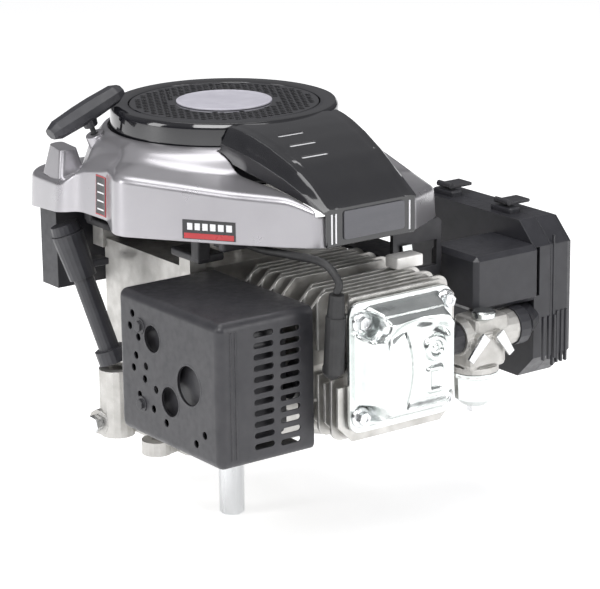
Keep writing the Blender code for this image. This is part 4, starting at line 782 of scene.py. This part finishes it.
def make_fittings():
    """Ribs and a seam on the air cleaner, a cap and a rim on the carburettor, washers and a slab on the case."""
    low, high = cad("air_cleaner_cover")
    ribs = [block((x, x + 2.2), (low.y - 1.2, low.y + 2.0), (low.z + 12, low.z + 58), 0.5, 2)
            for x in (high.x - 20, high.x - 15, high.x - 10)]
    seam = block((low.x + 2.5, low.x + 4.0), (low.y - 0.8, low.y + 2.0), (low.z + 10, high.z - 12), 0.3, 2)
    piece("air_cleaner_cover_ribs", gathered([*ribs, seam]), "black_plastic", "cleaner_cover")
    low, high = cad("air_cleaner_base")
    ribs = [block((high.x - 24 + 6 * i, high.x - 21.8 + 6 * i), (low.y - 1.0, low.y + 2.0), (74, 112), 0.5, 2)
            for i in range(3)]
    piece("air_cleaner_base_ribs", gathered(ribs), "black_plastic", "engine")
    low, high = cad("carburetor_body")
    top = turned([(0, 0), (9, 0), (10, 1), (10, 5), (8.5, 6.4), (0, 6.4)], (CARB_X, low.y + 9.0, high.z - 0.4), 48)
    piece("carburetor_top_cap", top, "zinc_plate", "engine")
    low, high = cad("float_bowl")
    band = turned([(17.6, 0), (19.4, 0.3), (19.8, 1.6), (19.4, 3.0), (17.6, 3.2)], (CARB_X, CARB_Y, high.z - 4.0), 64)
    piece("float_bowl_rim", band, "bright_alloy", "engine")
    low, high = cad("sump")
    places = ((-66, -54), (0, -56), (66, -54), (-66, 30), (88, -20), (88, 60))
    washers = [turned([(0, 0), (7.0, 0), (7.0, 1.2), (0, 1.2)], (x, y, high.z + 0.1), 32) for x, y in places]
    piece("sump_washers", gathered(washers), "zinc_plate", "engine")
    slab = soften(block((30, 57), (-196, -180), (176.0, 186.0)), 1.5, 2)
    piece("cylinder_slab", slab, "bright_alloy", "engine")


def make_leads():
    """The ignition lead and the rope's stub, as fixed tubes between the engine and what they hold."""
    foot, top = Vector((-57.0, -227.0, 116.0)), Vector((-57.5, -232.0, 180.0))
    lead_top = top + (top - foot).normalized() * 1.2
    route = [lead_top, lead_top + Vector((1, -1, 9)), lead_top + Vector((-2, 14, 21)), Vector((-60, -178, 200)),
             Vector((-66, -148, 199)), Vector((-66, -125, 199))]
    lead = piece("ignition_lead_cable", tube(smooth_route(route, 10), 3.2, 20), "rubber", None, ["ignition_lead"])
    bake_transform(lead)
    start, end = ROPE_EXIT - PULL * 24, ROPE_EXIT + PULL * 8
    rope = piece("starter_rope_cord", tube([start + (end - start) * i / 12 for i in range(13)], 2.2, 16), "cord",
                 None, ["starter_rope"])
    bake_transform(rope)


# Valve cover: a pressed sheet drawn as heights over its outline

COVER_BOLTS = ((-41, 79), (42, 79), (-40, 156), (44, 160))


def cover_height(x, z):
    """How far the pressed cover stands out from the head at a place, in millimetres."""
    cx, cz = x - 0.5, z - 119.0
    skirt = -to_box(cx, cz, 46.0, 49.5, 15.0)
    height = 3.0 + 15.5 * smoothstep(0.0, 7.0, skirt)
    top = -to_box(cx - 0.8, cz, 39.0, 41.5, 14.0)
    height += 6.5 * smoothstep(0.0, 5.0, top)
    # A shallow dish with a curved left edge, the ring boss and a bar below it, as the press leaves them.
    curve = x + 17.0 - 9.0 * math.cos((z - 117.0) / 24.0)
    dish = smoothstep(0.0, 6.0, curve) * smoothstep(0.0, 6.0, -to_box(cx - 4, cz + 2, 34.0, 33.0, 10.0))
    height -= 2.6 * dish
    arch = 20.0 - 0.012 * (x - 2.0) ** 2
    groove = math.exp(-(((cz - arch - 14.0) / 4.2) ** 2)) * smoothstep(0.0, 8.0, 34.0 - abs(x - 2.0))
    height -= 3.4 * groove
    ring = math.hypot(x - 18.0, z - 130.0)
    height += 3.6 * smoothstep(11.5, 9.5, ring) - 2.6 * smoothstep(6.6, 5.4, ring) + 1.6 * smoothstep(3.0, 1.8, ring)
    bar_shape = to_box(x - 18.0, z - 104.0, 8.5, 11.0, 4.0)
    height += 2.2 * smoothstep(0.8, -1.4, bar_shape) - 1.8 * smoothstep(-3.2, -4.8, bar_shape)
    for bx, bz in COVER_BOLTS:
        away = math.hypot(x - bx, z - bz)
        height = 3.0 + (height - 3.0) * smoothstep(8.4, 13.5, away)
    return height


def make_valve_cover():
    outline = fillet([(-51, 66), (51, 66), (51, 172), (-51, 172)], [12, 12, 12, 12], 10)
    dense = []
    for i, point in enumerate(outline):
        ahead = outline[(i + 1) % len(outline)]
        pieces = max(1, round((ahead - point).length / 1.6))
        dense += [point.lerp(ahead, k / pieces) for k in range(pieces)]
    centre = Vector((0.5, 119.0))
    back = HEAD_FRONT_Y - 0.3
    shares = [1.0, 0.997] + [1 - 0.012 * k for k in range(1, 78)]
    bm = bmesh.new()

    def sheet(inset):
        rings = []
        for share in shares:
            ring = []
            for point in dense:
                place = centre.lerp(point, share)
                height = cover_height(place.x, place.y) - (inset if share < 0.9 else 0.0)
                if share == 1.0:
                    height = 2.4
                if inset and share >= 0.9:
                    height = 0.0
                ring.append(bm.verts.new((place.x, back - max(height, 0.0), place.y)))
            rings.append(ring)
        for first, second in zip(rings, rings[1:]):
            join_rings(bm, first, second)
        height = cover_height(centre.x, centre.y) - inset
        middle = bm.verts.new((centre.x, back - height, centre.y))
        for i, vert in enumerate(rings[-1]):
            bm.faces.new((vert, rings[-1][(i + 1) % len(dense)], middle))
        return rings[0]

    join_rings(bm, sheet(0.0), sheet(1.8))
    piece("valve_cover_pressing", bm, "zinc_plate", "engine", ["valve_cover"], angle=50)
    seat = HEAD_FRONT_Y - 3.6
    for number, (x, z) in enumerate(COVER_BOLTS, 1):
        turn = Matrix.Rotation(0.35 * number, 4, "Y")
        head = hexagon((0, 0), 10, -7.0, -1.2, axis=1, edge=0.6)
        washer = placed(spun([(0, 0), (8.0, 0), (8.2, 0.4), (7.4, 1.4), (5.2, 1.9), (0, 1.9)], 40),
                        (0, 0, 0), (0, -1, 0))
        shank = bar((0, 0.2, 0), (0, 16.5, 0), 3.0, sides=24)
        dimple = bar((0, -8, 0), (0, -6.2, 0), 2.6, sides=24)
        bolt = joined(head, add=[washer, shank], cut=[dimple])
        bolt.transform(Matrix.Translation((x, seat, z)) @ turn)
        piece(f"valve_cover_bolt_{number}_head", bolt, "bright_steel", "engine", [f"valve_cover_bolt_{number}"])


# Muffler guard


def capsule(x, z, half, radius, y, steps=8):
    """A slot with round ends, as a cutter across Y."""
    outline = []
    for side, start in ((1, -90), (-1, 90)):
        for k in range(steps + 1):
            a = math.radians(start + 180 * k / steps)
            outline.append((x + side * (half - radius) + radius * math.cos(a), z + radius * math.sin(a)))
    return prism(outline, *y, axis=1)


def make_muffler_guard():
    gx, gy, gz, t = (-150.0, -60.6), (-205.0, -62.0), (47.0, 165.0), 1.4
    shell = block((gx[0], gx[1] + 20), gy, gz, 7.0, 6)
    open_side = block((gx[1], gx[1] + 40), (-300, 0), (0, 300))
    inner = block((gx[0] + t, gx[1] + 30), (gy[0] + t, gy[1] - t), (gz[0] + t, gz[1] - t), 5.8, 6)
    slots = []
    for x, top in ((-108.0, 152.0), (-83.0, 150.5)):
        for row in range(11):
            slots.append(capsule(x, top - 9.1 * row, 9.5, 2.4, (-215, -198)))
    # A flat corner bend between the slotted face and the outer face, and a row of holes on the outer face.
    holes = [bar((-160, y, z), (-140, y, z), r, sides=48)
             for y, z, r in ((-163, 107, 16), (-112, 133, 11), (-136, 87, 12))]
    holes += [bar((-160, y, z), (-140, y, z), 3.2, sides=20) for y, z in (
        (-84, 148), (-80, 137), (-92, 130), (-88, 114), (-102, 108), (-84, 103), (-100, 97), (-116, 92), (-92, 82),
        (-112, 75), (-130, 68), (-184, 72), (-172, 62))]
    lips = [placed(spun([(r - 0.1, -1.0), (r + 1.5, -1.0), (r + 1.5, 0.2), (r + 0.6, 1.1), (r - 0.1, 1.3)], 48),
                   (gx[0], y, z), (gx[0] + 1, y, z))
            for y, z, r in ((-163, 107, 16.1), (-112, 133, 11.1), (-136, 87, 12.1))]
    ribs = [block((x - 0.9, x + 0.9), (gy[0] - 0.9, gy[0] + 0.6), (54, 158), 0.7, 3) for x in (-139.0, -134.5)]
    guard = joined(shell, add=ribs, cut=[open_side, inner, gathered(slots), gathered(holes)])
    piece("muffler_guard_panel", guard, "black_steel", "engine", ["muffler_guard"])
    for number, lip in enumerate(lips, 1):
        lip.transform(Matrix.Translation((0.9, 0, 0)))
        piece(f"muffler_guard_flange_{number}", lip, "black_steel", "engine")
    screws = []
    for y, z in ((-95, 75), (-95, 140)):
        screws.append(joined(bar((gx[0] - 3.4, y, z), (gx[0] + 0.6, y, z), 4.6, sides=6, edge=0.4),
                             add=[bar((gx[0] - 0.9, y, z), (gx[0] + 0.3, y, z), 6.4, sides=32, edge=0.3)]))
    piece("muffler_guard_screws", gathered(screws), "black_steel", "engine")


# Making


dress_cad_nodes()
make_camera()
make_studio()
make_blower_housing()
make_top_cover()
make_grille()
make_fins()
make_fittings()
make_leads()
make_valve_cover()
make_muffler_guard()
